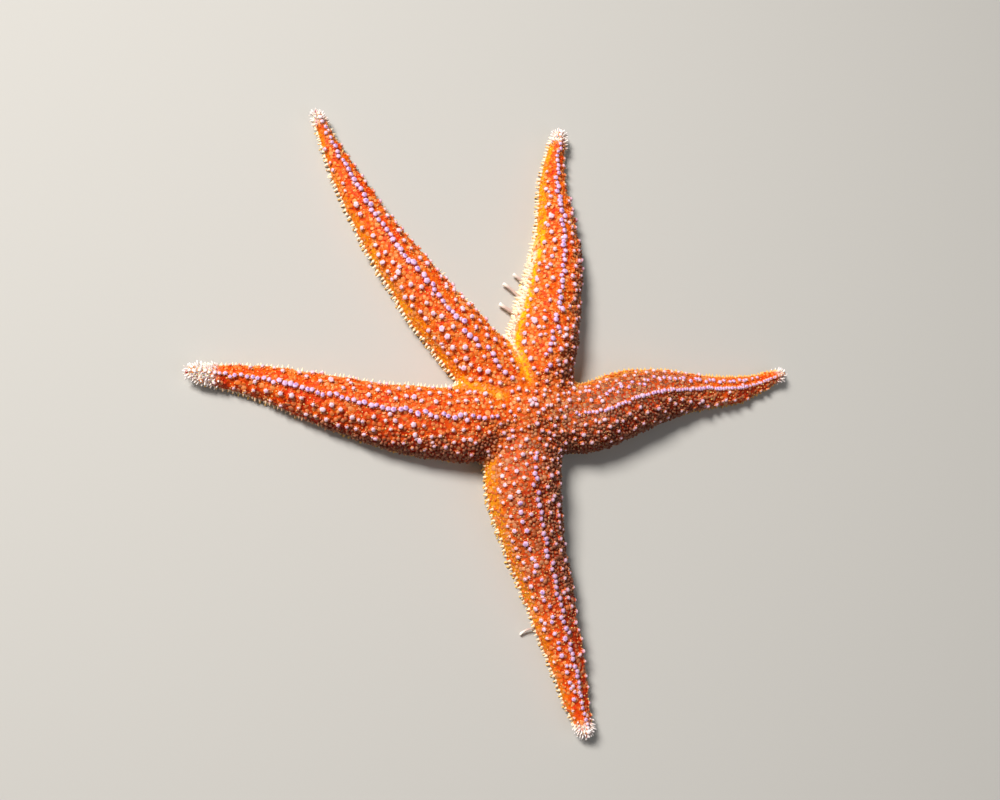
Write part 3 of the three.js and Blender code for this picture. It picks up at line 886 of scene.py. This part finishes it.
def planted(name, pattern, roots, ways, sizes, bend=0.0):
    """One mesh of many copies of a small solid, each at its root on the skin. sizes holds each
    copy's width and length as shares of the pattern's, and bend curves it sideways."""
    places, corners, face_sizes = pattern
    count, points = len(roots), len(places)
    sizes = np.broadcast_to(np.asarray(sizes, float), (count, 2))
    ways = unit_rows(ways)
    spin = random.random(count) * FULL_TURN
    side = unit_rows(np.cross(ways, np.where(abs(ways[:, 2:]) > 0.9, (1.0, 0, 0), (0, 0, 1.0))))
    other = np.cross(ways, side)
    turned_side = side * np.cos(spin)[:, None] + other * np.sin(spin)[:, None]
    turned_other = other * np.cos(spin)[:, None] - side * np.sin(spin)[:, None]
    tall = places[None, :, 2] * sizes[:, 1:]
    across = places[None, :, 0] * sizes[:, :1] + bend * tall * np.maximum(tall, 0)
    deep = places[None, :, 1] * sizes[:, :1] * uneven((count, 1), 0.13, 0.7, 1.35)
    whole = roots[:, None] + across[..., None] * turned_side[:, None]
    whole = whole + deep[..., None] * turned_other[:, None] + tall[..., None] * ways[:, None]
    mesh = bpy.data.meshes.new(name)
    mesh.vertices.add(count * points)
    mesh.loops.add(count * len(corners))
    mesh.polygons.add(count * len(face_sizes))
    copy = np.arange(count)[:, None]
    starts = np.concatenate(([0], np.cumsum(face_sizes)[:-1]))
    mesh.loops.foreach_set("vertex_index", (corners[None] + copy * points).ravel().astype(np.int32))
    mesh.polygons.foreach_set("loop_start", (starts[None] + copy * len(corners)).ravel().astype(np.int32))
    set_places(mesh, whole.reshape(-1, 3))
    mesh.update(calc_edges=True)
    mesh.validate()
    rise = (places[:, 2] - places[:, 2].min()) / np.ptp(places[:, 2])
    around = np.arctan2(places[:, 1], places[:, 0])
    patch = np.column_stack((np.cos(around), np.sin(around))) * (1 - rise)[:, None] * BAKE_PATCH / 2
    layer = mesh.uv_layers.new(name="OFBake")
    spots = (chart(roots)[:, None] + patch[None, corners]).reshape(-1, 2)
    layer.data.foreach_set("uv", spots.astype(np.float32).ravel())
    add_marks(mesh, "tone", np.tile(np.clip(places[:, 2] / places[:, 2].max(), 0, 1), count))
    add_marks(mesh, "tint", np.repeat(random.random(count), points))
    return mesh


def mark_copies(mesh, **marks):
    """Gives all points of each copy that copy's own value of each marking."""
    for name, values in marks.items():
        add_marks(mesh, name, np.repeat(values, len(mesh.vertices) // len(values)))


def copy_marks(mesh, nearest):
    """Gives each copy the markings of the skin it grows from."""
    mark_copies(mesh, margin=yellow[nearest], red=redness_and_shade[nearest], under=under[nearest], tip=pale[nearest])


roots, ways, nearest = rooted(knob_targets)
size = 0.66 + 0.13 * by_arm(arms[nearest], "chain")
size[in_crest] = crest_sizes
size = size - 0.3 * ease(0.7, 0.97, shares[nearest]) - 0.16 * ease(0.5, 0.9, relative[nearest])
size = size * (1 - 0.14 * inner[nearest]) * (1 - 0.12 * shade[nearest])
size = size * random.normal(1, np.where(in_crest, 0.06, 0.15)).clip(0.65, 1.35)
size[-len(doubled):] *= 0.85
ways = tousled(ways, 0.12 + 0.24 * inner[nearest])
ways = leaned(ways, SHADY_SIDE, 0.3 * fleshy[nearest])
lengths = size * (1 + 0.3 * shade[nearest] + 0.35 * inner[nearest])
knob = turned(KNOB_PROFILE, 10, KNOB_LOBES)
knobs = planted("knobs", knob, roots, ways, np.column_stack((size, lengths)))
copy_marks(knobs, nearest)
mark_copies(knobs, crest=in_crest, shade=shade[nearest])
knob_material, tree, shader = new_material("knob", colour(236, 214, 232), 0.62)
rim = stained(tree, colour(250, 218, 226), "crest", colour(242, 204, 234))
flank = stained(tree, colour(228, 170, 200), "crest", colour(206, 154, 212))
speckle = blotches(tree, 3600, 2.0, 0.5, 0.64)
rim = mix(tree, times(tree, speckle, 0.55), rim, flank)
eye = stained(tree, colour(206, 150, 200), "crest", colour(164, 116, 200))
eye = stained(tree, eye, "tint", rim)
head = mix(tree, rising(tree, "tone", 0.5, 0.8), flank, rim)
head = mix(tree, rising(tree, "tone", 0.89, 0.99), head, eye)
# Heads on the flank turned from the lamp are painted darker, as painted shade.
head = stained(tree, head, "shade", colour(140, 100, 124), 0.4)
head = stained(tree, head, "tip", colour(255, 244, 244))
paint(tree, shader, mix(tree, rising(tree, "tone", 0.15, 0.42), flesh_colour(tree), head))
bump(tree, shader, noise_texture(tree, 3600, 2.0), 0.16)
shader.inputs["Specular IOR Level"].default_value = 0.2
let_light_in(shader, 0.1, 0.5)
finish_piece("knobs", knobs, knob_material, "spine")


# --- Wreaths and granules --------------------------------------------------------------------
# Tiny pincers that keep the skin clean. They crowd in a pale orange wreath round the foot of
# each knob, and more are sprinkled over the skin between as yellow grains.
WREATH_BEADS = 7
GRAIN_SPACING = 0.9


def ball(width, height):
    """A rounded grain, taken apart into arrays, with its root inside it."""
    shape = bmesh.new()
    bmesh.ops.create_icosphere(shape, subdivisions=1, radius=0.5)
    bmesh.ops.scale(shape, vec=(width, width, height), verts=shape.verts)
    bmesh.ops.translate(shape, vec=(0, 0, height * 0.3), verts=shape.verts)
    return taken_apart(shape)


knob_roots, knob_ways, knob_sizes = roots, ways, size
angles = (np.arange(WREATH_BEADS) / WREATH_BEADS * FULL_TURN)[None]
angles = angles + random.random((len(roots), 1)) * 6
angles = angles + random.normal(0, 0.15, angles.shape)
side = unit_rows(np.cross(knob_ways, (0.3, 0.5, 0.1)))
other = np.cross(knob_ways, side)
ring = (0.82 * knob_sizes)[:, None] * random.normal(1, 0.1, angles.shape)
out = side[:, None] * np.cos(angles)[..., None] + other[:, None] * np.sin(angles)[..., None]
targets = knob_roots[:, None] + out * ring[..., None]
targets = (targets + knob_ways[:, None] * 0.25).reshape(-1, 3)
roots, ways, nearest = rooted(targets)
roots = roots + ways * (0.02 + random.random(len(roots)) * 0.22)[:, None]
size = uneven(len(roots), 0.15, 0.6, 1.4)
wreaths = planted("wreaths", ball(0.4, 0.44), roots, ways, size[:, None])
copy_marks(wreaths, nearest)
wreath_material, tree, shader = new_material("wreath", colour(244, 190, 160), 0.5)
paler = mix(tree, rising(tree, "tint", 0.2, 0.9), colour(246, 140, 66), colour(250, 186, 138))
paint(tree, shader, mix(tree, rising(tree, "tone", 0.05, 0.5), flesh_colour(tree), paler))
let_light_in(shader, 0.2, 0.2)
finish_piece("wreaths", wreaths, wreath_material, "spine")

field = np.flatnonzero((facing[:, 2] > -0.25) & (under < 0.2) & ~hollow)
picked = field[scattered(places[field], np.full(len(field), GRAIN_SPACING), taken=knob_roots)]
roots = places[picked] - facing[picked] * 0.04
size = uneven(len(roots), 0.25, 0.5, 1.6)
ways = leaned(facing[picked], (0, 0, 1.0), 0.1)
grains = planted("grains", ball(0.34, 0.4), roots, ways, size[:, None])
copy_marks(grains, picked)
grain_material, tree, shader = new_material("grain", colour(250, 200, 110), 0.5)
yellower = rising(tree, "tint", 0.35, 0.8)
paint(tree, shader, mix(tree, yellower, flesh_colour(tree), colour(252, 214, 130)))
let_light_in(shader, 0.2, 0.2)
finish_piece("grains", grains, grain_material, "skin")


# --- Papulae ---------------------------------------------------------------------------------
# Thin-walled fingers of skin that the animal breathes through, pushed out between the plates of
# its skeleton. They are out most thickly on the flanks turned from the light, as a soft fur.
PAPULA_PROFILE = [(0, -0.4), (0.29, -0.3), (0.27, 0.15), (0.22, 0.6), (0.13, 0.9), (0, 1.0)]
PAPULA_PIECES = 3                   # separate meshes, so that none grows too large
KNOB_CLEARING = 0.75

field = np.flatnonzero((facing[:, 2] > -0.3) & (under < 0.4) & (tip < 0.3) & ~hollow)
bunched = ease(-0.12, 0.3, ripple(places[field], 0.42))
density = np.maximum(0.04 + 0.42 * bunched, np.maximum(fleshy, bloom_and_shade)[field])
density = density * (1 - 0.5 * ease(0.5, 0.8, shares[field]))
bare_red = redness_and_shade * (1 - fuzz_and_shade / fuzz_and_shade.max())
density = density * (1 - 0.8 * yellow[field]) * (1 - 0.45 * bare_red[field])
field = field[random.random(len(field)) < density]
gaps = 0.8 + 0.12 * (1 - fleshy[field])
picked = field[scattered(places[field], gaps)]
clear = np.array([knob_tree.find(place)[2] for place in places[picked]]) > KNOB_CLEARING
picked = picked[clear]
length = (0.17 + 0.6 * fleshy[picked]) * uneven(len(picked), 0.2, 0.5, 1.6)
width = (2.2 - 0.35 * fleshy[picked]) * uneven(len(picked), 0.16, 0.6, 1.4)
ways = tousled(facing[picked], 0.22)
papula_material, tree, shader = new_material("papula", colour(200, 130, 96), 0.4)
varied = rising(tree, "tint", 0.1, 0.9)
# The fingers have a lit colour and a darker painted-shade colour. They take the shaded one, and darker
# feet, where the painted shade lies and where they bloom thickly, partly as painted shade.
shaded = mix(tree, varied, colour(138, 78, 52), colour(198, 136, 102))
shaded = stained(tree, shaded, "shade", colour(112, 58, 38), 0.55)
lit = mix(tree, varied, colour(244, 122, 28), colour(240, 156, 84))
lit = stained(tree, lit, "red", colour(196, 88, 52), 0.75)
wall = stained(tree, lit, "dusk", shaded)
foot = stained(tree, colour(246, 104, 10), "dusk", colour(160, 52, 20))
paint(tree, shader, mix(tree, rising(tree, "tone", 0.05, 0.6), foot, wall))
let_light_in(shader, 0.3, 0.35, (1.0, 0.6, 0.4))
shader.inputs["Specular IOR Level"].default_value = 0.25
papula = turned(PAPULA_PROFILE, 8)
sizes = np.column_stack((width, length))
for number in range(PAPULA_PIECES):
    mine = slice(number, None, PAPULA_PIECES)
    name = f"papulae_{number + 1}"
    own = picked[mine]
    mesh = planted(name, papula, places[own], ways[mine], sizes[mine], bend=0.25)
    mark_copies(mesh, dusk=dusk[own], shade=shade[own], red=redness_and_shade[own])
    finish_piece(name, mesh, papula_material, "papula")


# --- Marginal spines -------------------------------------------------------------------------
# The comb of longer cream-white spines that fringes each arm. They are chalk, blunt, and stand
# out from the margin in a long upper row and a shorter one under it. Where the first arm leaves
# the disc, two more rows on its left crowd into a white band.
MARGIN_SPINE = [(0, -0.4), (0.5, -0.35), (0.47, 0.1), (0.34, 0.6), (0.19, 1.05), (0.07, 1.42), (0, 1.48)]
MARGIN_ROWS = [
    # arms from 0 to 4, sides (1 is the right), degrees above the margin, first place in mm, last
    # as a share of the arm, spacing, size
    (range(5), (1, -1), 4, 13, 0.975, 1.2, 1.0),
    (range(5), (1, -1), -20, 13.6, 0.975, 1.3, 0.6),
    ((0,), (-1,), 24, 18, 0.5, 0.95, 0.9),
    ((0,), (-1,), 14, 17, 0.52, 0.95, 1.0),
]
MARGIN_GAP = 1.3                    # places further from the skin, inside it, are left out

targets, outward, lengths = [], [], []
for numbers, sides, turn, first, last, spacing, size_here in MARGIN_ROWS:
    for arm, sign in [(ARMS[number], sign) for number in numbers for sign in sides]:
        steps = np.arange(first, arm["reach"] * last, spacing)
        steps = steps + random.normal(0, 0.14, len(steps))
        share = steps / arm["reach"]
        turns = np.radians(turn + random.normal(0, 3.5, len(steps)))
        targets.append(on_arm(arm, share, np.where(sign > 0, turns, math.pi - turns)))
        climb = np.full(len(steps), math.tan(math.radians(turn * 0.8)))
        outward.append(np.column_stack((sign * arm_frames(arm, share)[2], climb)))
        length = arm["comb"] * size_here * (1 - 0.3 * ease(0.7, 1, share))
        lengths.append(length * (0.7 + 0.3 * ease(0.12, 0.3, share)))
targets, outward, lengths = np.vstack(targets), np.vstack(outward), np.concatenate(lengths)
roots, _, nearest = rooted(targets)
free = np.linalg.norm(roots - targets, axis=1) < MARGIN_GAP
roots, nearest, outward, lengths = roots[free], nearest[free], outward[free], lengths[free]
lengths = lengths * (1 - 0.35 * shade[nearest]) * uneven(len(lengths), 0.12, 0.7, 1.3)
ways = tousled(outward, 0.1)
sizes = np.column_stack((0.75 + 0.25 * lengths, lengths))
comb = planted("marginal_spines", turned(MARGIN_SPINE, 7), roots, ways, sizes)
copy_marks(comb, nearest)
mark_copies(comb, shade=shade[nearest], comb=by_arm(arms[nearest], "comb"))
comb_material, tree, shader = new_material("marginal_spine", colour(250, 236, 204), 0.45)
strong = rising(tree, "comb", 0.58, 0.86)
chalk = mix(tree, strong, colour(248, 196, 104), colour(252, 238, 210))
# Spines on the flank turned from the lamp are painted tan, as painted shade.
chalk = stained(tree, chalk, "shade", colour(176, 116, 76))
paint(tree, shader, mix(tree, rising(tree, "tone", 0.02, 0.3), flesh_colour(tree), chalk))
bump(tree, shader, noise_texture(tree, 4200, 2.0), 0.05)
let_light_in(shader, 0.12, 0.5)
finish_piece("marginal_spines", comb, comb_material, "spine")


# --- Arm tips --------------------------------------------------------------------------------
# Each arm ends in a pale turned-up tip, crowded with small spines. A red eyespot sits under its
# last plate, with a fringe of thin feeling feet that the animal stretches out ahead of it.
TIP_SPINE = [(0, -0.3), (0.2, -0.25), (0.19, 0.4), (0.16, 0.85), (0, 1.1)]
FEELER = [(0, -0.6), (0.24, -0.5), (0.2, 0.4), (0.16, 1.3), (0.2, 1.7), (0, 1.85)]
FEELERS = 9

field = np.flatnonzero((tip > 0.02) & (facing[:, 2] > -0.6))
picked = field[scattered(places[field], 1.15 - 0.6 * tip[field], taken=knob_roots)]
ahead = np.array([arm_frames(arm, np.array([0.98]))[1][0] for arm in ARMS])
ahead = np.column_stack((ahead, np.zeros(len(ARMS))))
ways = tousled(leaned(facing[picked], ahead[arms[picked]], 0.35), 0.12)
length = random.normal(1.05, 0.16, len(picked)).clip(0.6, 1.5)
tip_spines = planted("tip_spines", turned(TIP_SPINE, 6), places[picked], ways, length[:, None])
copy_marks(tip_spines, picked)
tip_material, tree, shader = new_material("tip_spine", colour(244, 226, 232), 0.45)
shaft = rising(tree, "tone", 0.1, 0.7)
paint(tree, shader, mix(tree, shaft, flesh_colour(tree), colour(255, 246, 246)))
finish_piece("tip_spines", tip_spines, tip_material, "spine")

roots, ways, eyes, eye_ways = [], [], [], []
for arm in ARMS:
    centre, forward, right = (v[0] for v in arm_frames(arm, np.array([0.985])))
    half_width, height, lifted = (v[0] for v in arm_sizes(arm, np.array([0.965])))
    for angle in np.linspace(-1.15, 1.15, FEELERS) + random.normal(0, 0.06, FEELERS):
        out = forward * math.cos(angle) + right * math.sin(angle)
        roots.append((*(centre + out * half_width * 0.8), lifted + 0.25 * height))
        ways.append((*out, random.normal(-0.12, 0.12)))
    eyes.append((*(centre + forward * 4), lifted + 0.5 * height))
    eye_ways.append((*forward, 0.35))
roots, _, nearest = rooted(roots)
length = random.normal(0.62, 0.12, len(roots)).clip(0.4, 1)
sizes = np.column_stack((np.full(len(roots), 0.85), length))
feelers = planted("feelers", turned(FEELER, 6), roots, np.array(ways), sizes, bend=0.08)
copy_marks(feelers, nearest)
foot_material, tree, shader = new_material("tube_foot", colour(236, 214, 184), 0.35)
sucker = rising(tree, "tone", 0.6, 1.0)
paint(tree, shader, mix(tree, sucker, colour(206, 184, 176), colour(255, 250, 242)))
bump(tree, shader, noise_texture(tree, 2600, 1.0), 0.08)
let_light_in(shader, 0.2, 0.8, (1.0, 0.8, 0.6))
shader.inputs["Coat Weight"].default_value = 0.3
finish_piece("feelers", feelers, foot_material, "tube_foot")

eye_roots, eye_normals, _ = rooted(eyes)
eye_roots = eye_roots - eye_normals * 0.1
eyespots = planted("eyespots", ball(1.0, 0.9), eye_roots, np.array(eye_ways), (1.0, 1.0))
eye_material, tree, shader = new_material("eyespot", colour(200, 24, 20), 0.3)
darker = blotches(tree, 5200, 2.0, 0.4, 0.65)
paint(tree, shader, mix(tree, darker, colour(206, 28, 18), colour(140, 8, 14)))
finish_piece("eyespots", eyespots, eye_material, "eyespot")


# --- Sieve plate -----------------------------------------------------------------------------
# The madreporite, the chalk button that the animal draws its water in through. It stands off
# the disc's middle between two arms, and fine grooves wander from its middle to its edge.
SIEVE_RADIUS = 1.1
SIEVE_RISE = 0.55
SIEVE_FURROWS = 17
FURROW_DEPTH = 0.16

button = bmesh.new()
bmesh.ops.create_uvsphere(button, u_segments=64, v_segments=24, radius=1)
unit = vertex_places(button)
around = np.arctan2(unit[:, 1], unit[:, 0])
flat = np.hypot(unit[:, 0], unit[:, 1])
furrow = 0.5 + 0.5 * np.cos(SIEVE_FURROWS * around + 1.4 * np.sin(5 * flat + 2 * around))
off_middle = ease(0.15, 0.4, flat)
rise = SIEVE_RISE * np.clip(unit[:, 2], -0.3, 1)
rise = rise - FURROW_DEPTH * furrow * off_middle * (unit[:, 2] > 0)
overhead = Vector((sieve[0], sieve[1], 40))
seat, seat_normal, _, _ = skin_surface.ray_cast(overhead, Vector((0, 0, -1)))
upright = Vector((0, 0, 1)).rotation_difference(seat_normal).to_matrix()
local = np.column_stack((unit[:, :2] * SIEVE_RADIUS, rise)) @ np.array(upright).T
place_vertices(button, local + np.array(seat))
sieve_mesh = bpy.data.meshes.new("sieve_plate")
button.to_mesh(sieve_mesh)
button.free()
# The furrows are painted a darker orange than the ridges between them, painted shade in the grooves.
add_marks(sieve_mesh, "tone", np.where(unit[:, 2] > 0, 1 - furrow * off_middle, 0))
sieve_material, tree, shader = new_material("sieve_plate", colour(240, 196, 120), 0.6)
paint(tree, shader, stained(tree, colour(236, 130, 14), "tone", colour(255, 206, 84)))
bump(tree, shader, noise_texture(tree, 6000, 2.0), 0.05)
finish_piece("sieve_plate", sieve_mesh, sieve_material, "sieve_plate", "madreporite")


# --- Spines of the underside -----------------------------------------------------------------
# Rows of cream chalk spines stand beside the groove under each arm and on the sole outside it.
# They carry the animal just clear of the floor and can close over its feet.
GROOVE_SPINE = [(0, -0.4), (0.24, -0.35), (0.22, 0.2), (0.25, 0.9), (0.2, 1.35), (0, 1.5)]
SOLE_ROWS = (
    # share of the half-width, first place in mm, spacing, lean outward, length
    (0.33, 6.5, 0.95, -0.9, 0.95),
    (0.42, 6.5, 1.05, 0.5, 1.0),
    (0.60, 14, 1.55, 1.1, 1.15),
    (0.80, 14, 1.45, 1.4, 1.25),
)
SOLE_GAP = 1.2                      # places further than this to the side of the sole are left out
SOLE_SPACING = 1.5                  # of the spines on the sole of the disc
FLOOR_CLEARANCE = 0.26              # of the middle of a spine's end

targets, ways, lengths = [], [], []
for arm in ARMS:
    for sign in (1, -1):
        for place_across, first, gap, lean, long in SOLE_ROWS:
            steps = np.arange(first, arm["reach"] * 0.95, gap) + random.normal(0, 0.05)
            share = (steps + random.normal(0, gap * 0.08, len(steps))) / arm["reach"]
            centre, forward, right = arm_frames(arm, share)
            half_width, _, lifted = arm_sizes(arm, share)
            spot = centre + sign * right * (half_width * place_across)[:, None]
            targets.append(np.column_stack((spot, lifted + 0.2)))
            out = sign * right * lean + forward * random.normal(0, 0.25, len(steps))[:, None]
            ways.append(np.column_stack((out, np.full(len(steps), -1.0))))
            lengths.append(long * (1 - 0.35 * ease(0.5, 1, share)))
targets, ways, lengths = np.vstack(targets), np.vstack(ways), np.concatenate(lengths)
roots, normals, nearest = rooted(targets)
held = (np.linalg.norm((roots - targets)[:, :2], axis=1) < SOLE_GAP) & (normals[:, 2] < 0.2)
roots, ways, lengths, nearest = roots[held], ways[held], lengths[held], nearest[held]
field = np.flatnonzero((under > 0.8) & ~hollow & (relative > 0.4) & (shares < 0.4))
picked = field[scattered(places[field], np.full(len(field), SOLE_SPACING), taken=roots)]
out = places[picked] * (1, 1, 0) / from_middle(places[picked])[:, None]
roots, nearest = np.vstack((roots, places[picked])), np.concatenate((nearest, picked))
ways = np.vstack((ways, out - (0, 0, 0.8)))
lengths = np.concatenate((lengths, np.full(len(picked), 1.0)))
lengths = lengths * uneven(len(lengths), 0.1, 0.75, 1.25)
ways = unit_rows(ways)
longest = GROOVE_SPINE[-1][1] * lengths
drop = np.minimum(-ways[:, 2], (roots[:, 2] - FLOOR_CLEARANCE) / longest).clip(-0.3, 1)
ways = np.column_stack((unit_rows(ways[:, :2]) * np.sqrt(1 - drop**2)[:, None], -drop))
sole_spines = planted("sole_spines", turned(GROOVE_SPINE, 6), roots, ways, lengths[:, None])
copy_marks(sole_spines, nearest)
finish_piece("sole_spines", sole_spines, comb_material, "spine")


# --- Tube feet -------------------------------------------------------------------------------
# Four rows of soft water-filled feet fill the groove under each arm. Each ends in a sucker flat
# on the floor. Four more, glassy and slightly bowed, reach out towards -X, three past the left
# margin of the first arm and one past the right margin of the fourth.
FOOT = [
    (0, -0.16), (0.4, -0.14), (0.36, 0.1), (0.3, 0.5), (0.28, 0.82),
    (0.34, 0.9), (0.52, 0.955), (0.5, 1), (0, 1),
]
STRAY_FOOT = [
    (0, -0.02), (0.48, 0), (0.45, 0.12), (0.42, 0.24), (0.4, 0.36), (0.39, 0.48), (0.39, 0.6),
    (0.4, 0.72), (0.42, 0.82), (0.46, 0.91), (0.5, 0.96), (0.4, 1), (0, 1.01),
]
FOOT_ROWS = (-0.68, -0.25, 0.25, 0.68)     # shares of the groove's half-width
FOOT_SPACING = 1.25
STRAY_FEET = (
    # root and tip in mm from the middle of the disc, and how far it bows towards +Y and up
    ((3.6, 38.2, 1.6), (0.1, 41.0, 1.4), (-0.2, 0.3)),
    ((1.4, 34.0, 1.6), (-3.1, 38.1, 1.3), (0.2, 0.4)),
    ((0.0, 29.2, 1.6), (-4.6, 32.2, 1.3), (-0.2, 0.4)),
    ((0.4, -57.4, 1.2), (-4.6, -58.3, 0.7), (0.8, 0.5)),
)
STRAY_THICKNESS = (1.0, 1.1, 1.1, 0.8)

tops, bottoms, thick_feet = [], [], []
for arm in ARMS:
    for row, place_across in enumerate(FOOT_ROWS):
        steps = np.arange(7.5 + 0.5 * FOOT_SPACING * (row % 2), arm["reach"] * 0.965, FOOT_SPACING)
        share = (steps + random.normal(0, 0.08, len(steps))) / arm["reach"]
        centre, _, right = arm_frames(arm, share)
        half_width = arm_sizes(arm, share)[0]
        spots = centre + right * (half_width * GROOVE_WIDTH * place_across)[:, None]
        for spot, size_here in zip(spots, half_width):
            hit = skin_surface.ray_cast(Vector((*spot, -1)), Vector((0, 0, 1)))[0]
            if hit is None:
                continue
            tops.append(hit)
            bottoms.append((*(spot + random.normal(0, 0.3, 2)), 0.02))
            thick_feet.append(0.55 + 0.45 * min(1, size_here / 7))
tops, bottoms = np.array(tops), np.array(bottoms)
lengths = np.linalg.norm(bottoms - tops, axis=1)
sole_foot_material, tree, shader = new_material("sole_tube_foot", colour(236, 206, 160), 0.35)
paint(tree, shader, stained(tree, colour(222, 184, 130), "tone", colour(246, 226, 190)))
bump(tree, shader, noise_texture(tree, 2600, 1.0), 0.08)
let_light_in(shader, 0.2, 0.8, (1.0, 0.7, 0.45))
shader.inputs["Coat Weight"].default_value = 0.3
sizes = np.column_stack((thick_feet, lengths))
feet = planted("tube_feet", turned(FOOT, 8), tops, bottoms - tops, sizes)
on_floor = get_places(feet)
on_floor[:, 2] = np.maximum(on_floor[:, 2], 0.0)
set_places(feet, on_floor)
finish_piece("tube_feet", feet, sole_foot_material, "tube_foot")

stray_roots, stray_tips, bows = (np.array(spots) for spots in zip(*STRAY_FEET))
reach = stray_tips - stray_roots
sizes = np.column_stack((STRAY_THICKNESS, np.linalg.norm(reach, axis=1)))
stray = planted("stray_feet", turned(STRAY_FOOT, 14), stray_roots, reach, sizes)
bent = get_places(stray)
copies = np.repeat(np.arange(len(reach)), len(bent) // len(reach))
progress = np.sum((bent - stray_roots[copies]) * reach[copies], axis=1)
progress = progress / np.sum(reach[copies] ** 2, axis=1)
bent[:, 1:] += bows[copies] * (4 * progress * (1 - progress)).clip(0)[:, None]
set_places(stray, bent)
finish_piece("stray_feet", stray, foot_material, "tube_foot")


# --- Mouth -----------------------------------------------------------------------------------
# The mouth is a hole in a soft pale membrane at the middle of the underside. Five jaws, each a
# pair of chalk plates between two grooves, point into it and carry a fan of spines.
JAW_RING = 4.7
JAW_SIZE = (2.4, 2.0, 1.7)
JAW_FOOT = 1.05                     # height above the floor
LIP_RADIUS = 1.7
LIP_THICKNESS = 0.55
JAW_SPINES = (-0.75, -0.4, 0.0, 0.4, 0.75)         # how far each stands to the side of its jaw


def leaving_way(arm):
    """The heading in radians in which an arm's middle line leaves the middle of the disc."""
    root, next_place = middle_line(arm, np.array([0.0, 0.01]))
    step = next_place - root
    return math.atan2(step[1], step[0]) % FULL_TURN


leaving = sorted(leaving_way(arm) for arm in ARMS)
following = leaving[1:] + leaving[:1]
jaw_headings = [(way + ((after - way) % FULL_TURN) / 2) for way, after in zip(leaving, following)]

jaws = []
spine_roots, spine_ways = [], []
for heading in jaw_headings:
    for half in (-1, 1):
        jaw = bmesh.new()
        bmesh.ops.create_cube(jaw, size=1)
        bmesh.ops.scale(jaw, vec=(JAW_SIZE[0], JAW_SIZE[1] * 0.48, JAW_SIZE[2]), verts=jaw.verts)
        point = [v for v in jaw.verts if v.co.x < 0]
        bmesh.ops.scale(jaw, vec=(1, 0.62, 0.8), verts=point)
        bmesh.ops.bevel(
            jaw, geom=jaw.edges, offset=0.32,
            affect="EDGES", segments=3, profile=0.5, material=-1,
        )
        aside = half * JAW_SIZE[1] * 0.26
        bmesh.ops.translate(jaw, vec=(JAW_RING, aside, JAW_FOOT + JAW_SIZE[2] / 2), verts=jaw.verts)
        bmesh.ops.rotate(jaw, cent=(0, 0, 0), matrix=Matrix.Rotation(heading, 3, "Z"), verts=jaw.verts)
        jaws.append(jaw)
    turn = np.array(Matrix.Rotation(heading, 3, "Z"))
    for across in JAW_SPINES:
        spine_roots.append(turn @ np.array((JAW_RING - 0.7, across, 1.25)))
        spine_ways.append(turn @ np.array((-1.0, across * 0.7, -0.42)))
lip = bmesh.new()
ring = bmesh.ops.create_circle(lip, segments=12, radius=LIP_THICKNESS)["verts"]
bmesh.ops.rotate(lip, cent=(0, 0, 0), matrix=Matrix.Rotation(math.pi / 2, 3, "X"), verts=ring)
bmesh.ops.translate(lip, vec=(LIP_RADIUS, 0, MOUTH_PIT_DEPTH - 0.6), verts=ring)
bmesh.ops.spin(
    lip, geom=lip.edges[:], cent=(0, 0, 0), axis=(0, 0, 1),
    angle=FULL_TURN, steps=40, use_merge=True,
)
bmesh.ops.remove_doubles(lip, verts=lip.verts, dist=1e-4)
bmesh.ops.recalc_face_normals(lip, faces=lip.faces)
spots = vertex_places(lip)
folds = 1 + 0.12 * np.cos(20 * np.arctan2(spots[:, 1], spots[:, 0]))
place_vertices(lip, spots * np.column_stack((folds, folds, np.ones(len(folds)))))
mouth_mesh = joined(jaws + [lip])
mouth_material, tree, shader = new_material("mouth", colour(244, 214, 170), 0.45)
browner = blotches(tree, 1400, 3.0, 0.4, 0.66)
paint(tree, shader, mix(tree, browner, colour(246, 220, 178), colour(226, 172, 118)))
bump(tree, shader, noise_texture(tree, 3800, 3.0), 0.08)
let_light_in(shader, 0.15, 0.6)
finish_piece("jaws", mouth_mesh, mouth_material, "pale_flesh", "mouth")

spine_roots, spine_ways = np.array(spine_roots), np.array(spine_ways)
size = np.column_stack((np.full(len(spine_roots), 1.0), random.normal(1.15, 0.08, len(spine_roots))))
oral_spines = planted("oral_spines", turned(GROOVE_SPINE, 8), spine_roots, spine_ways, size)
copy_marks(oral_spines, rooted(spine_roots)[2])
finish_piece("oral_spines", oral_spines, comb_material, "spine")
